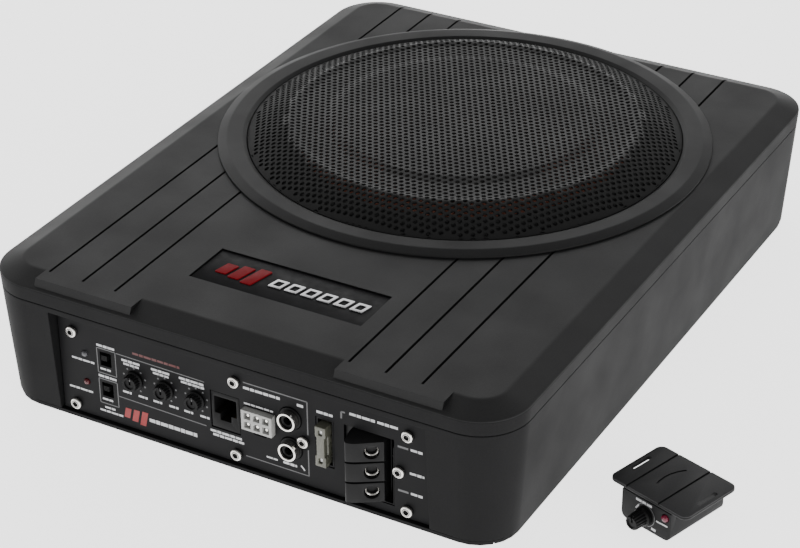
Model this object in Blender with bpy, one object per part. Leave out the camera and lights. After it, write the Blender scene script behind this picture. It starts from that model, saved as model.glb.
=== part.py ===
"""Powered under-seat car subwoofer with its wired level remote.

Each named object is one physical piece.  All dimensions are in millimetres
and are turned into metres when a mesh is made.  The origin is the centre of
the enclosure's underside, +Z is up and the control panel faces -Y.
"""
import math

import bmesh
import bpy
from mathutils import Matrix, Vector

MM = 0.001
GAP = 0.3                       # clearance kept between neighbouring pieces

# ---- driving dimensions of the enclosure --------------------
BODY_X = 230.0                  # widest outline
BODY_Y = 298.0
LIP_Z = 56.8                    # height of the widest outline
TOP_Z = 60.3                    # flat top of the cover
CHAMFER = 9.9                   # plan width of the sloping border of the top
DRAFT = 3.8                     # how far the walls lean in, lip to floor
CORNER_R = 20.6
WALL = 3.0
PART_Z = 50.5                   # parting line of cover and shell
BASE_T = 1.6                    # steel bottom plate
CORNER_STEPS = 6
POSTS = [(sx * 103.0, sy * 137.0) for sx in (-1, 1) for sy in (-1, 1)]
POST_R = 5.5
LONG_SCREW_R = 2.0
LONG_SCREW_HEAD_R = 4.0

# ---- ribs on the top --------------------
RIB_EDGES = (44.4, 89.0)        # each rib group, distances from the middle
GROOVE_X = (-86.5, -71.0, -56.0, 47.0, 62.2, 77.3)
GROOVE_W = 2.2
GROOVE_DEPTH = 1.1
GROOVE_FRONT_Y = -139.5          # the grooves end here, behind the rib noses
RIB_NOSE_Y = -146.0             # ribs run out over the front slope to here

# ---- badge --------------------
BADGE_X = 76.4
BADGE_Y = (-116.3, -92.5)
BADGE_DEPTH = 1.4

# ---- loudspeaker and grille --------------------
SPK_Y = 38.0                    # centre of the loudspeaker
RING_R = 104.8
RING_IN_R = 92.4
RING_TOP = 62.6
WELL_R = 100.0                  # round seat sunk into the cover
WELL_Z = 56.0
MOUTH_R = 89.0
GRILLE_T = 1.0
GRILLE_TOP = 70.0
FLANGE_R = 98.6
ROUND = 48                      # sides of the large turned pieces

# ---- control panel --------------------
PANEL_Y = -143.5                # front face of the panel
PANEL_T = 2.0
NOTCH_X = 82.7                  # half width of the shell's opening
NOTCH_TOP = 47.8
FRAME_X = 88.0                  # half width of the frame that the panel is screwed to
FRAME_T = 3.0
PANEL_LOW = BASE_T + 2 * GAP
PANEL_SCREWS = ((-75.4, 39.2), (-75.8, 5.8), (-1.0, 39.2), (-1.2, 6.2),
                (28.8, 21.9), (73.3, 39.2), (69.5, 22.3), (72.9, 5.8))
SCREW_HEAD_R = 2.7
SCREW_R = 1.3
LEDS = (("power_led", 30.4), ("protect_led", 17.4))
LED_X = -70.2
LED_R = 1.3
SWITCHES = (("phase_switch", 30.4), ("auto_on_switch", 16.4))
SWITCH_X = -60.4
SLIDER_TRAVEL = 2.2
KNOBS = (("low_pass", -47.2), ("gain", -33.0), ("bass_boost", -18.8))
KNOB_Z = 25.3
KNOB_R = 3.95
KNOB_LENGTH = 4.0
JACK_X = (-12.2, 0.4)
JACK_Z = (15.4, 31.6)
PLUG_C = (9.4, 24.8)            # centre of the speaker-level connector
PLUG_SIZE = (13.4, 8.8)
PLUG_PROUD = 2.4
RCA_X = 23.2
RCA_Z = (30.5, 17.0)
RCA_COLLAR_R = 4.4
FUSE_X = (35.2, 40.6)
FUSE_Z = (14.9, 33.9)
FUSE_PROUD = 1.2
TERM_X = (49.8, 67.0)
TERM_Z = (6.0, 32.7)            # its three bays, bottom to top
TERM_TOP_BACK = 35.0            # height of the block behind its sloping top
TERM_FRONT = -150.5             # left front edge; the face runs back from it to the right
TERM_TURN = 30.0                # degrees that the face is turned about +Z
TERM_FACE_END = 62.6            # the face reaches the panel here
TERM_SCREW_ALONG = 10.4         # along the face from the left front edge
TERM_WELL = 4.4                 # depth of the screw wells
TERM_FLANGE = 3.3               # width of the sunk flange beside the block
EAR = 3.3                       # half size of the block's screwed ear

# ---- remote control --------------------
REMOTE_AT = (150.8, -104.8)     # middle of its front, on the floor
REMOTE_TURN = -17.5             # degrees about +Z
REMOTE_X = 23.6
REMOTE_Y = 30.0
REMOTE_Z = 12.6
REMOTE_KNOB = (-0.4, 6.2)       # on its front, from the middle of the lower edge
REMOTE_LED = (9.2, 9.8)
PLATE_X = 37.2
PLATE_Y = 29.2
PLATE_T = 1.6
PLATE_SLOT_Y = (9.6, 20.2)


# ---- scene and materials --------------------
def clear_scene():
    for thing in list(bpy.data.objects):
        bpy.data.objects.remove(thing, do_unlink=True)


def material(name, colour, roughness, metallic=0.0):
    made = bpy.data.materials.new(name)
    made.use_nodes = True
    shader = made.node_tree.nodes["Principled BSDF"]
    shader.inputs["Base Color"].default_value = (*colour, 1.0)
    shader.inputs["Roughness"].default_value = roughness
    shader.inputs["Metallic"].default_value = metallic
    made.diffuse_color = (*colour, 1.0)
    return made


# ---- mesh makers: each returns a bmesh in millimetres --------------------
def from_rings(rings, close_ends=True, loop=False):
    """Skin through equal rings of points; loop joins the last to the first."""
    bm = bmesh.new()
    rows = [[bm.verts.new(p) for p in ring] for ring in rings]
    pairs = list(zip(rows, rows[1:]))
    if loop:
        pairs.append((rows[-1], rows[0]))
    for low, high in pairs:
        count = len(low)
        for i in range(count):
            j = (i + 1) % count
            bm.faces.new((low[i], low[j], high[j], high[i]))
    if close_ends and not loop:
        bm.faces.new(list(reversed(rows[0])))
        bm.faces.new(rows[-1])
    bmesh.ops.recalc_face_normals(bm, faces=bm.faces)
    return bm


def rounded_ring(half_x, half_y, radius, z, steps=CORNER_STEPS):
    """Points of a rounded rectangle about the origin, anticlockwise."""
    points = []
    for quarter in range(4):
        sign_x = 1 if quarter in (0, 3) else -1
        sign_y = 1 if quarter in (0, 1) else -1
        for step in range(steps + 1):
            angle = math.pi / 2 * (quarter + step / steps)
            points.append((sign_x * (half_x - radius) + radius * math.cos(angle),
                           sign_y * (half_y - radius) + radius * math.sin(angle), z))
    return points


def box(x0, x1, y0, y1, z0, z1):
    ring = ((x0, y0), (x1, y0), (x1, y1), (x0, y1))
    return from_rings([[(x, y, z) for x, y in ring] for z in (z0, z1)])


def prism(outline, axis, start, end):
    """Straight extrusion of a 2-D outline along 'X', 'Y' or 'Z'."""
    def point(a, b, along):
        return {"X": (along, a, b), "Y": (a, along, b), "Z": (a, b, along)}[axis]
    return from_rings([[point(a, b, along) for a, b in outline] for along in (start, end)])


def circle(centre_a, centre_b, radius, sides, phase=0.0):
    return [(centre_a + radius * math.cos(2 * math.pi * i / sides + phase),
             centre_b + radius * math.sin(2 * math.pi * i / sides + phase)) for i in range(sides)]


def rod(centre, radius, start, end, axis="Y", sides=16):
    """Plain cylinder along an axis; centre gives the other two coordinates."""
    return prism(circle(centre[0], centre[1], radius, sides), axis, start, end)


def turned(profile, sides, hollow=False):
    """Turn (radius, height) points about Z.  A hollow profile is a closed
    section clear of the axis; a solid one starts and ends on the axis."""
    def ring(radius, height):
        return [(radius * math.cos(2 * math.pi * i / sides),
                 radius * math.sin(2 * math.pi * i / sides), height) for i in range(sides)]
    if hollow:
        return from_rings([ring(r, z) for r, z in profile], loop=True)
    bm = bmesh.new()
    rows = [[bm.verts.new(p) for p in ring(r, z)] for r, z in profile[1:-1]]
    for low, high in zip(rows, rows[1:]):
        for i in range(sides):
            j = (i + 1) % sides
            bm.faces.new((low[i], low[j], high[j], high[i]))
    for row, (_, height) in ((rows[0], profile[0]), (rows[-1], profile[-1])):
        tip = bm.verts.new((0.0, 0.0, height))
        for i in range(sides):
            bm.faces.new((row[i], row[(i + 1) % sides], tip))
    bmesh.ops.recalc_face_normals(bm, faces=bm.faces)
    return bm


def moved(bm, matrix):
    bmesh.ops.transform(bm, matrix=matrix, verts=bm.verts)
    bmesh.ops.recalc_face_normals(bm, faces=bm.faces)
    return bm


def facing_front(bm, x, y, z):
    """Stand a piece turned about Z so that its +Z end points to -Y."""
    return moved(bm, Matrix.Translation((x, y, z)) @ Matrix.Rotation(math.pi / 2, 4, "X"))


# ---- objects --------------------
def place(name, bm, look, origin=(0.0, 0.0, 0.0), parent=None, smooth=True):
    """Turn a millimetre bmesh into a named object whose origin is given."""
    shift = Matrix.Scale(MM, 4) @ Matrix.Translation(-Vector(origin))
    bmesh.ops.transform(bm, matrix=shift, verts=bm.verts)
    mesh = bpy.data.meshes.new(name)
    bm.to_mesh(mesh)
    bm.free()
    made = bpy.data.objects.new(name, mesh)
    bpy.context.scene.collection.objects.link(made)
    made.location = Vector(origin) * MM
    made.parent = parent
    if look is not None:
        mesh.materials.append(look)
    if smooth:
        mesh.shade_smooth()
        mesh.set_sharp_from_angle(angle=math.radians(35))
    return made


def shape_with(target, bm, operation):
    """Add or take away a shape with a Boolean modifier."""
    tool = place(target.name + "_tool", bm, None, parent=target.parent, smooth=False)
    tool.hide_render = True
    tool.display_type = "WIRE"
    step = target.modifiers.new(operation.lower(), "BOOLEAN")
    step.operation = operation
    step.object = tool
    step.solver = "EXACT"


def cut(target, *shapes):
    for bm in shapes:
        shape_with(target, bm, "DIFFERENCE")


def add(target, *shapes):
    for bm in shapes:
        shape_with(target, bm, "UNION")


# ---- enclosure --------------------
def lean_at(z):
    """How far the outside of the wall has moved in at a height."""
    return DRAFT * (LIP_Z - z) / LIP_Z


def outline_at(z, inset=0.0):
    """Outline of the leaning wall at a height, moved in by an inset."""
    step = lean_at(z) + inset
    return rounded_ring(BODY_X / 2 - step, BODY_Y / 2 - step, max(CORNER_R - step, 2.0), z)


def make_bottom_plate(look):
    plate = place("bottom_plate", from_rings([outline_at(0.0, 0.4), outline_at(BASE_T, 0.4)]), look)
    for x, y in POSTS:
        cut(plate, rod((x, y), LONG_SCREW_R + GAP, -1, BASE_T + 1, "Z", 10))
        cut(plate, rod((x, y), LONG_SCREW_HEAD_R + GAP, -1, 0.9, "Z", 10))
    return plate


def make_lower_shell(look):
    low = BASE_T + GAP
    high = PART_Z - GAP / 2
    shell = place("lower_shell", from_rings([outline_at(low), outline_at(high)]), look)
    cut(shell, from_rings([outline_at(low - 1, WALL), outline_at(high + 1, WALL)]))
    back = PANEL_Y + PANEL_T + GAP
    behind = back + FRAME_T
    skin = BODY_Y / 2 - 0.5                         # the frame starts just inside the wall's face
    frame = [(lean_at(low) - skin, low), (lean_at(high) - skin, high), (behind, high), (behind, low)]
    add(shell, prism(frame, "X", -FRAME_X, FRAME_X))
    cut(shell, box(-NOTCH_X, NOTCH_X, -152.0, back, low - 1, NOTCH_TOP))
    window_y = (PANEL_Y - 0.5, behind + 2.0)
    cut(shell, box(-71.5, 69.0, *window_y, 10.0, 44.5))
    ear_x, ear_z = PANEL_SCREWS[6]
    cut(shell, box(60.0, ear_x + EAR + 2 * GAP, *window_y, ear_z - EAR - 3 * GAP, ear_z + EAR + 3 * GAP))
    cut(shell, box(TERM_X[0] - TERM_FLANGE - 2 * GAP, TERM_X[1] + 2 * GAP, *window_y,
                   TERM_Z[0] - 2 * GAP, 20.0))
    screw_x = PANEL_SCREWS[2][0]
    add(shell, box(screw_x - 4.0, screw_x + 4.0, back, behind, 35.0, 46.0))
    for x, y in POSTS:
        add(shell, rod((x, y), POST_R, low + 0.4, high - 0.4, "Z", 10))
        cut(shell, rod((x, y), LONG_SCREW_R + GAP, low - 1, high + 1, "Z", 8))
    for x, z in PANEL_SCREWS:
        if z > 30 or z < 10:
            cut(shell, rod((x, z), SCREW_R + GAP, back - 1, back + 5, "Y", 8))
    cut(shell, rim_band(1.0, 2.4, high - 1.3, high + 1.0))
    return shell


def rib_nose(x0, x1):
    """Rib ends standing on the front slope, seen from the side."""
    side = [(-137.0, 58.4), (-137.0, TOP_Z), (RIB_NOSE_Y, TOP_Z), (RIB_NOSE_Y - 1.5, 57.0),
            (-141.0, 57.0)]
    return prism(side, "X", x0, x1)


def make_top_cover(look):
    low = PART_Z + GAP / 2
    top = rounded_ring(BODY_X / 2 - CHAMFER, BODY_Y / 2 - CHAMFER, CORNER_R - CHAMFER, TOP_Z)
    soft = 0.7                                      # rounded lip
    lip_low = rounded_ring(BODY_X / 2, BODY_Y / 2, CORNER_R, LIP_Z - soft)
    lip_high = rounded_ring(BODY_X / 2 - soft, BODY_Y / 2 - soft, CORNER_R - soft, LIP_Z + 0.15)
    cover = place("top_cover", from_rings([outline_at(low), lip_low, lip_high, top]), look)
    for sign in (-1, 1):
        group = sorted(sign * edge for edge in RIB_EDGES)
        add(cover, rib_nose(*group))
    inside_top = rounded_ring(BODY_X / 2 - CHAMFER - 2, BODY_Y / 2 - CHAMFER - 2, 8.0, TOP_Z - WALL)
    inside_lip = rounded_ring(BODY_X / 2 - WALL, BODY_Y / 2 - WALL, CORNER_R - WALL, LIP_Z - 3.0)
    cut(cover, from_rings([outline_at(low - 1, WALL), inside_lip, inside_top]))
    add(cover, rod((0, SPK_Y), RING_R - 1.2, WELL_Z - WALL, TOP_Z - 2.0, "Z", ROUND))
    for edge in GROOVE_X:
        side = [(edge - GROOVE_W, TOP_Z + 0.01), (edge - GROOVE_W, TOP_Z + 2), (edge, TOP_Z + 2),
                (edge, TOP_Z - GROOVE_DEPTH), (edge - 0.6, TOP_Z - GROOVE_DEPTH)]
        cut(cover, prism(side, "Y", GROOVE_FRONT_Y, BODY_Y / 2 - CHAMFER + 2.5))
    well = [(0, 50.0), (MOUTH_R, 50.0), (MOUTH_R, WELL_Z), (WELL_R, WELL_Z), (WELL_R, 70.0), (0, 70.0)]
    cut(cover, moved(turned(well, ROUND), Matrix.Translation((0, SPK_Y, 0))))
    half = BADGE_X / 2
    cut(cover, box(-half, half, *BADGE_Y, TOP_Z - BADGE_DEPTH, TOP_Z + 2))
    for x, y in POSTS:
        add(cover, rod((x, y), POST_R, low + 0.4, LIP_Z, "Z", 10))
        cut(cover, rod((x, y), LONG_SCREW_R + GAP, low - 1, 56.0, "Z", 8))
    return cover


def rim_band(inset_out, inset_in, low, high):
    """Closed band that follows the rim between two insets."""
    outer = [outline_at(z, inset_out) for z in (low, high)]
    inner = [outline_at(z, inset_in) for z in (high, low)]
    return from_rings(outer + inner, loop=True)


def make_gasket(look):
    """Seal cord that lies in the groove of the shell's rim."""
    rim = PART_Z - GAP / 2
    return place("lid_gasket", rim_band(1.3, 2.1, rim - 1.0, rim), look)


def make_long_screws(look):
    for number, (x, y) in enumerate(POSTS, 1):
        profile = [(0, 0.1), (LONG_SCREW_HEAD_R, 0.1), (LONG_SCREW_HEAD_R, 0.6), (LONG_SCREW_R, 0.6),
                   (LONG_SCREW_R, 55.5), (0, 55.5)]
        screw = moved(turned(profile, 10), Matrix.Translation((x, y, 0)))
        made = place("bottom_screw_%d" % number, screw, look, (x, y, 0))
        cut(made, box(x - 1.6, x + 1.6, y - 0.35, y + 0.35, -1, 0.5))


def make_badge(look):
    half = BADGE_X / 2 - GAP
    low = TOP_Z - BADGE_DEPTH + GAP
    front, back = BADGE_Y[0] + GAP, BADGE_Y[1] - GAP
    return place("badge_plate", box(-half, half, front, back, low, low + 0.5), look, smooth=False)


# ---- loudspeaker, all turned about the same upright axis --------------------
def turned_piece(name, profile, look, sides=ROUND, hollow=True, origin_z=0.0):
    shape = moved(turned(profile, sides, hollow), Matrix.Translation((0, SPK_Y, 0)))
    return place(name, shape, look, (0, SPK_Y, origin_z))


def make_grille_ring(look):
    low = TOP_Z + GAP
    profile = [(RING_R, low), (RING_R, low + 0.5), (103.2, 61.8), (100.6, RING_TOP),
               (93.2, 62.4), (RING_IN_R, 61.6), (RING_IN_R, 60.0), (99.6, 60.0), (99.6, low)]
    return turned_piece("grille_ring", profile, look)


def make_grille(look):
    """Pressed steel dish: flange, sloping skirt, sunk annular band, raised disc."""
    upper = [(FLANGE_R, 59.7), (92.0, 59.7), (91.6, 62.2), (84.0, 65.9), (74.2, 69.4),
             (71.0, 68.6), (58.6, 68.8), (56.0, 69.8)]
    under = [(r - 0.4 * (z > TOP_Z), z - GRILLE_T) for r, z in reversed(upper)]
    profile = [(0, GRILLE_TOP - GRILLE_T)] + under + upper + [(0, GRILLE_TOP)]
    return turned_piece("grille", profile, look, hollow=False)


def make_basket(look):
    flange_low, flange_high = WELL_Z + GAP, WELL_Z + 2.3
    skin = [(FLANGE_R, flange_low), (FLANGE_R, flange_high), (84.5, flange_high), (83.0, 55.0),
            (62.0, 37.0), (55.0, 36.6), (52.5, 30.3), (24.0, 30.3), (24.0, 28.5), (54.0, 28.5),
            (56.4, 34.8), (62.8, 35.2), (85.0, 53.6), (86.0, flange_low)]
    basket = turned_piece("woofer_basket", skin, look, 36)
    windows = 6
    for index in range(windows):
        angle = 2 * math.pi * (index + 0.5) / windows
        opening = box(59.0, 92.0, -19.0, 19.0, 39.0, 52.5)
        turn = Matrix.Translation((0, SPK_Y, 0)) @ Matrix.Rotation(angle, 4, "Z")
        cut(basket, moved(opening, turn))
    return basket


def make_motor(steel, ferrite):
    turned_piece("woofer_yoke", [(0, 4.5), (49.0, 4.5), (49.0, 9.0), (17.8, 9.5), (17.8, 29.0),
                                 (0, 29.0)], steel, 32, hollow=False)
    turned_piece("woofer_magnet", [(51.0, 9.3), (51.0, 22.7), (27.0, 22.7), (27.0, 9.8)], ferrite, 32)
    turned_piece("woofer_top_plate", [(48.0, 23.0), (48.0, 28.2), (20.9, 28.2), (20.9, 23.0)], steel, 32)


def make_cone_assembly(paper, coil, rubber, cloth):
    turned_piece("woofer_cone", [(72.8, 58.3), (69.0, 58.3), (20.6, 41.6), (20.6, 40.4),
                                 (69.6, 57.1), (72.8, 57.3)], paper, 36)
    turned_piece("woofer_dust_cap", [(0, 53.6), (14.0, 52.9), (26.0, 50.4), (33.6, 47.3),
                                     (33.6, 46.5), (25.6, 49.4), (13.6, 51.9), (0, 52.6)],
                 paper, 28, hollow=False)
    turned_piece("voice_coil", [(20.3, 19.0), (20.3, 43.0), (18.6, 43.0), (18.6, 19.0)], coil, 28)
    turned_piece("woofer_surround", surround_section(), rubber, 36)
    turned_piece("woofer_spider", spider_section(), cloth, 28)


def surround_section():
    """Half-round roll between two flat lips."""
    inner, outer, base, rise = 73.4, 83.0, 58.6, 4.6
    thickness = 0.9
    steps = 6

    def arc(extra, order):
        middle, reach = (inner + outer) / 2, (outer - inner) / 2 + extra
        angles = [math.pi * step / steps for step in order]
        return [(middle + reach * math.cos(a), base + (rise + extra) * math.sin(a)) for a in angles]

    lip_out = [(87.6, base), (87.6, base + thickness)]
    lip_in = [(70.2, base + thickness), (70.2, base)]
    return (lip_out + arc(thickness, range(1, steps)) + lip_in
            + arc(0.0, range(steps, -1, -1)))


def spider_section():
    """Corrugated disc from the basket's ledge in to the voice coil."""
    outer, inner, low = 60.5, 20.6, 37.3
    thickness, wave, folds = 0.5, 1.0, 6
    under = []
    for fold in range(folds + 1):
        radius = outer + (inner - outer) * fold / folds
        under.append((radius, low + wave * (fold % 2)))
    return [(r, z + thickness) for r, z in under] + under[::-1]


# ---- control panel and what it carries --------------------
def make_panel(look):
    back = PANEL_Y + PANEL_T
    panel = place("control_panel", box(-NOTCH_X + GAP, NOTCH_X - GAP, PANEL_Y, back, PANEL_LOW,
                                       NOTCH_TOP - GAP), look, smooth=False)
    through = (PANEL_Y - 5, back + 5)
    for x, z in PANEL_SCREWS:
        cut(panel, rod((x, z), SCREW_R + GAP, *through, "Y", 8))
    for _, z in LEDS:
        cut(panel, rod((LED_X, z), LED_R + GAP, *through, "Y", 10))
    for _, z in SWITCHES:
        cut(panel, box(SWITCH_X - 2.6, SWITCH_X + 2.6, *through, z - 3.1, z + 3.1))
    for _, x in KNOBS:
        cut(panel, rod((x, KNOB_Z), 2.1, *through, "Y", 10))
    cut(panel, box(JACK_X[0] - GAP, JACK_X[1] + GAP, *through, JACK_Z[0] - GAP, JACK_Z[1] + GAP))
    half_x, half_z = PLUG_SIZE[0] / 2 + GAP, PLUG_SIZE[1] / 2 + GAP
    cut(panel, box(PLUG_C[0] - half_x, PLUG_C[0] + half_x, *through,
                   PLUG_C[1] - half_z, PLUG_C[1] + half_z))
    cut(panel, box(PLUG_C[0] - 2.6, PLUG_C[0] + 2.6, *through, PLUG_C[1] - half_z - 2.6,
                   PLUG_C[1]))
    for z in RCA_Z:
        cut(panel, rod((RCA_X, z), RCA_COLLAR_R + 2 * GAP, *through, "Y", 16))
    cut(panel, box(FUSE_X[0] - 1.2, FUSE_X[1] + 1.2, *through, FUSE_Z[0] - 1.2, FUSE_Z[1] + 1.2))
    cut(panel, box(TERM_X[0] - TERM_FLANGE - GAP, TERM_X[1] + GAP, *through, TERM_Z[0] - GAP,
                   TERM_TOP_BACK + GAP))
    return panel


def make_panel_screws(look):
    for number, (x, z) in enumerate(PANEL_SCREWS, 1):
        # built along +Z from the panel's face, then turned to face the front
        shank = 5.2
        profile = [(0, -shank), (SCREW_R, -shank), (SCREW_R, GAP), (SCREW_HEAD_R, GAP),
                   (SCREW_HEAD_R, 1.1), (1.9, 1.8), (0, 1.9)]
        made = place("panel_screw_%d" % number,
                     facing_front(turned(profile, 10, hollow=False), x, PANEL_Y, z), look,
                     (x, PANEL_Y, z))
        cut(made, box(x - 1.5, x + 1.5, PANEL_Y - 3, PANEL_Y - 1.2, z - 0.35, z + 0.35))


def make_leds(clear, red):
    for (name, z), look in zip(LEDS, (clear, red)):
        profile = [(0, -6.0), (LED_R, -6.0), (LED_R, 0.2), (0.8, 1.0), (0, 1.2)]
        place(name, facing_front(turned(profile, 12, hollow=False), LED_X, PANEL_Y, z), look)


def make_switches(housing_look, slider_look):
    back = PANEL_Y + PANEL_T + GAP
    for name, z in SWITCHES:
        body = place(name + "_body", box(SWITCH_X - 4.6, SWITCH_X + 4.6, back, back + 6.5,
                                         z - 5.6, z + 5.6), housing_look, smooth=False)
        cut(body, box(SWITCH_X - 2.3, SWITCH_X + 2.3, back - 1, back + 3.2, z - 3.0, z + 3.0))
        rest = z + SLIDER_TRAVEL / 2
        slider = box(SWITCH_X - 1.9, SWITCH_X + 1.9, back + 0.3, back + 2.8, rest - 1.5, rest + 1.5)
        origin = (SWITCH_X, PANEL_Y, rest)
        made = place(name + "_slider", slider, slider_look, origin, smooth=False)
        add(made, box(SWITCH_X - 1.3, SWITCH_X + 1.3, PANEL_Y - 0.9, back + 0.8,
                      rest - 1.1, rest + 1.1))


def make_pots_and_knobs(metal, plastic):
    back = PANEL_Y + PANEL_T + GAP
    for name, x in KNOBS:
        body = place(name + "_pot", box(x - 4.8, x + 4.8, back, back + 6.0, KNOB_Z - 5.5,
                                        KNOB_Z + 4.8), metal, smooth=False)
        add(body, rod((x, KNOB_Z), 1.5, PANEL_Y - KNOB_LENGTH + 1.8, back + 2, "Y", 12))
        skirt = [(0, KNOB_LENGTH), (3.0, KNOB_LENGTH), (3.3, KNOB_LENGTH - 0.3), (3.45, 1.4),
                 (KNOB_R, 1.1), (KNOB_R, GAP), (0, GAP)]
        knob = place(name + "_knob", facing_front(turned(skirt[::-1], 16, hollow=False), x,
                                                  PANEL_Y, KNOB_Z), plastic, (x, PANEL_Y, KNOB_Z))
        cut(knob, rod((x, KNOB_Z), 1.8, PANEL_Y - KNOB_LENGTH + 1.4, PANEL_Y + 1, "Y", 10))
        cut(knob, box(x - 0.4, x + 0.4, PANEL_Y - KNOB_LENGTH - 1, PANEL_Y - KNOB_LENGTH + 0.6, KNOB_Z,
                      KNOB_Z + 2.6))


def make_remote_socket(look):
    """Six-way telephone-style socket for the remote's lead."""
    mid = (JACK_X[0] + JACK_X[1]) / 2
    socket = place("remote_socket", box(*JACK_X, PANEL_Y + 0.2, -128.5, *JACK_Z), look,
                   smooth=False)
    cut(socket, box(mid - 4.9, mid + 4.9, PANEL_Y - 2, -132.0, 22.2, 29.6))
    cut(socket, box(mid - 2.4, mid + 2.4, PANEL_Y - 2, -132.0, 19.4, 23.0))
    return socket


def make_speaker_socket(look):
    half_x, half_z = PLUG_SIZE[0] / 2, PLUG_SIZE[1] / 2
    front = PANEL_Y - PLUG_PROUD
    socket = place("speaker_input_socket", box(PLUG_C[0] - half_x, PLUG_C[0] + half_x, front,
                                               -130.0, PLUG_C[1] - half_z, PLUG_C[1] + half_z),
                   look, smooth=False)
    for column in (-1, 0, 1):
        for row in (-1, 1):
            x = PLUG_C[0] + 4.2 * column
            z = PLUG_C[1] + 2.1 * row
            cut(socket, box(x - 1.4, x + 1.4, front - 1, front + 6.0, z - 1.4, z + 1.4))
    add(socket, box(PLUG_C[0] - 2.2, PLUG_C[0] + 2.2, PANEL_Y - 1.6, -136.0,
                    PLUG_C[1] - half_z - 2.2, PLUG_C[1] - half_z + 1.0))
    return socket


def make_rca(plastic, metal):
    back = PANEL_Y + PANEL_T + GAP
    block = place("rca_block", box(RCA_X - 4.8, RCA_X + 9.0, back, -128.0, 11.5, 38.0), plastic,
                  smooth=False)
    for z in RCA_Z:
        collar = [(0, -3.0), (RCA_COLLAR_R, -3.0), (RCA_COLLAR_R, 0.5), (2.7, 0.5),
                  (2.7, 2.4), (1.6, 2.4), (1.6, -1.6), (0, -1.6)]
        add(block, facing_front(turned(collar, 16, hollow=False), RCA_X, PANEL_Y, z))
    cut(block, rod((PANEL_SCREWS[4][0], PANEL_SCREWS[4][1]), SCREW_R + GAP, back - 1, back + 5,
                   "Y", 10))
    for name, z in zip(("upper", "lower"), RCA_Z):
        tube = [(4.15, 0.8), (4.15, 4.1), (3.1, 4.1), (3.1, 0.8)]
        place("rca_sleeve_" + name, facing_front(turned(tube, 16, hollow=True), RCA_X, PANEL_Y, z),
              metal)


def make_fuse(holder_look, fuse_look):
    back = PANEL_Y + PANEL_T
    holder = place("fuse_socket", box(FUSE_X[0] - 0.9, FUSE_X[1] + 0.9, PANEL_Y + 0.3, -126.0,
                                      FUSE_Z[0] - 0.9, FUSE_Z[1] + 0.9), holder_look, smooth=False)
    cut(holder, box(FUSE_X[0] - GAP, FUSE_X[1] + GAP, PANEL_Y - 2, back + 1.5,
                    FUSE_Z[0] - GAP, FUSE_Z[1] + GAP))
    mid_x = (FUSE_X[0] + FUSE_X[1]) / 2
    mid_z = (FUSE_Z[0] + FUSE_Z[1]) / 2
    fuse = place("fuse", box(*FUSE_X, PANEL_Y - FUSE_PROUD, back + 1.2, *FUSE_Z), fuse_look,
                 (mid_x, PANEL_Y, mid_z), smooth=False)
    for sign in (-1, 1):
        blade_z = mid_z + sign * 5.6
        cut(holder, box(mid_x - 0.7, mid_x + 0.7, back, -128.0, blade_z - 2.9, blade_z + 2.9))
        add(fuse, box(mid_x - 0.4, mid_x + 0.4, back, -129.0, blade_z - 2.6, blade_z + 2.6))


def terminal_axes():
    """Left front edge of the block, X along its turned face and Y into it."""
    edge = Matrix.Translation((TERM_X[0], TERM_FRONT, 0))
    return edge @ Matrix.Rotation(math.radians(TERM_TURN), 4, "Z")


def make_terminal(plastic, metal):
    back = PANEL_Y + PANEL_T
    flush = PANEL_Y + GAP
    side = TERM_X[0] - TERM_FLANGE
    plan = [(side, back + 12.0), (side, PANEL_Y + 1.0), (TERM_X[0], PANEL_Y + 1.0),
            (TERM_X[0], TERM_FRONT + 0.6), (TERM_X[0] + 0.8, TERM_FRONT),
            (TERM_X[0] + 5.0, TERM_FRONT + 1.9), (TERM_FACE_END, flush), (TERM_X[1], flush),
            (TERM_X[1], back + 12.0)]
    block = place("power_terminal_block", prism(plan, "Z", TERM_Z[0], TERM_TOP_BACK), plastic,
                  smooth=False)
    face = terminal_axes()
    rise = 0.52                                     # the top slopes up from the face
    top = [(-2.0, TERM_Z[1] - 2.0 * rise), (20.0, TERM_Z[1] + 20.0 * rise), (-2.0, TERM_Z[1] + 20.0 * rise)]
    cut(block, moved(prism(top, "X", -12.0, 14.0), face))
    pitch = (TERM_Z[1] - TERM_Z[0]) / 3
    for bay in range(3):
        z = TERM_Z[0] + pitch * (bay + 0.5)
        cut(block, moved(rod((TERM_SCREW_ALONG, z), 3.0, -3.0, TERM_WELL, "Y", 16), face))
        cut(block, box(TERM_FACE_END + 0.7, TERM_X[1] - 0.4, flush - 1, flush + 9.0, z - 3.9, z + 3.9))
        seat = face @ Matrix.Translation((TERM_SCREW_ALONG, TERM_WELL, z))
        profile = [(0, 0.4), (2.6, 0.4), (2.6, 3.4), (2.0, 2.8), (2.0, 1.4), (0, 1.4)]
        stand = seat @ Matrix.Rotation(math.pi / 2, 4, "X")
        place("terminal_screw_%d" % (3 - bay), moved(turned(profile, 18, hollow=False), stand), metal,
              seat.translation)
    for bay in (1, 2):
        z = TERM_Z[0] + pitch * bay
        groove = [(-2.0, z - 1.1), (1.0, z), (-2.0, z + 1.1)]
        cut(block, moved(prism(groove, "X", -4.0, 15.0), face))
    x, z = PANEL_SCREWS[6]
    add(block, box(TERM_X[1] - 1, x + EAR, back + GAP, back + 6, z - EAR, z + EAR))
    cut(block, rod((x, z), SCREW_R + GAP, PANEL_Y, PANEL_Y + 9, "Y", 10))
    return block


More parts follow.
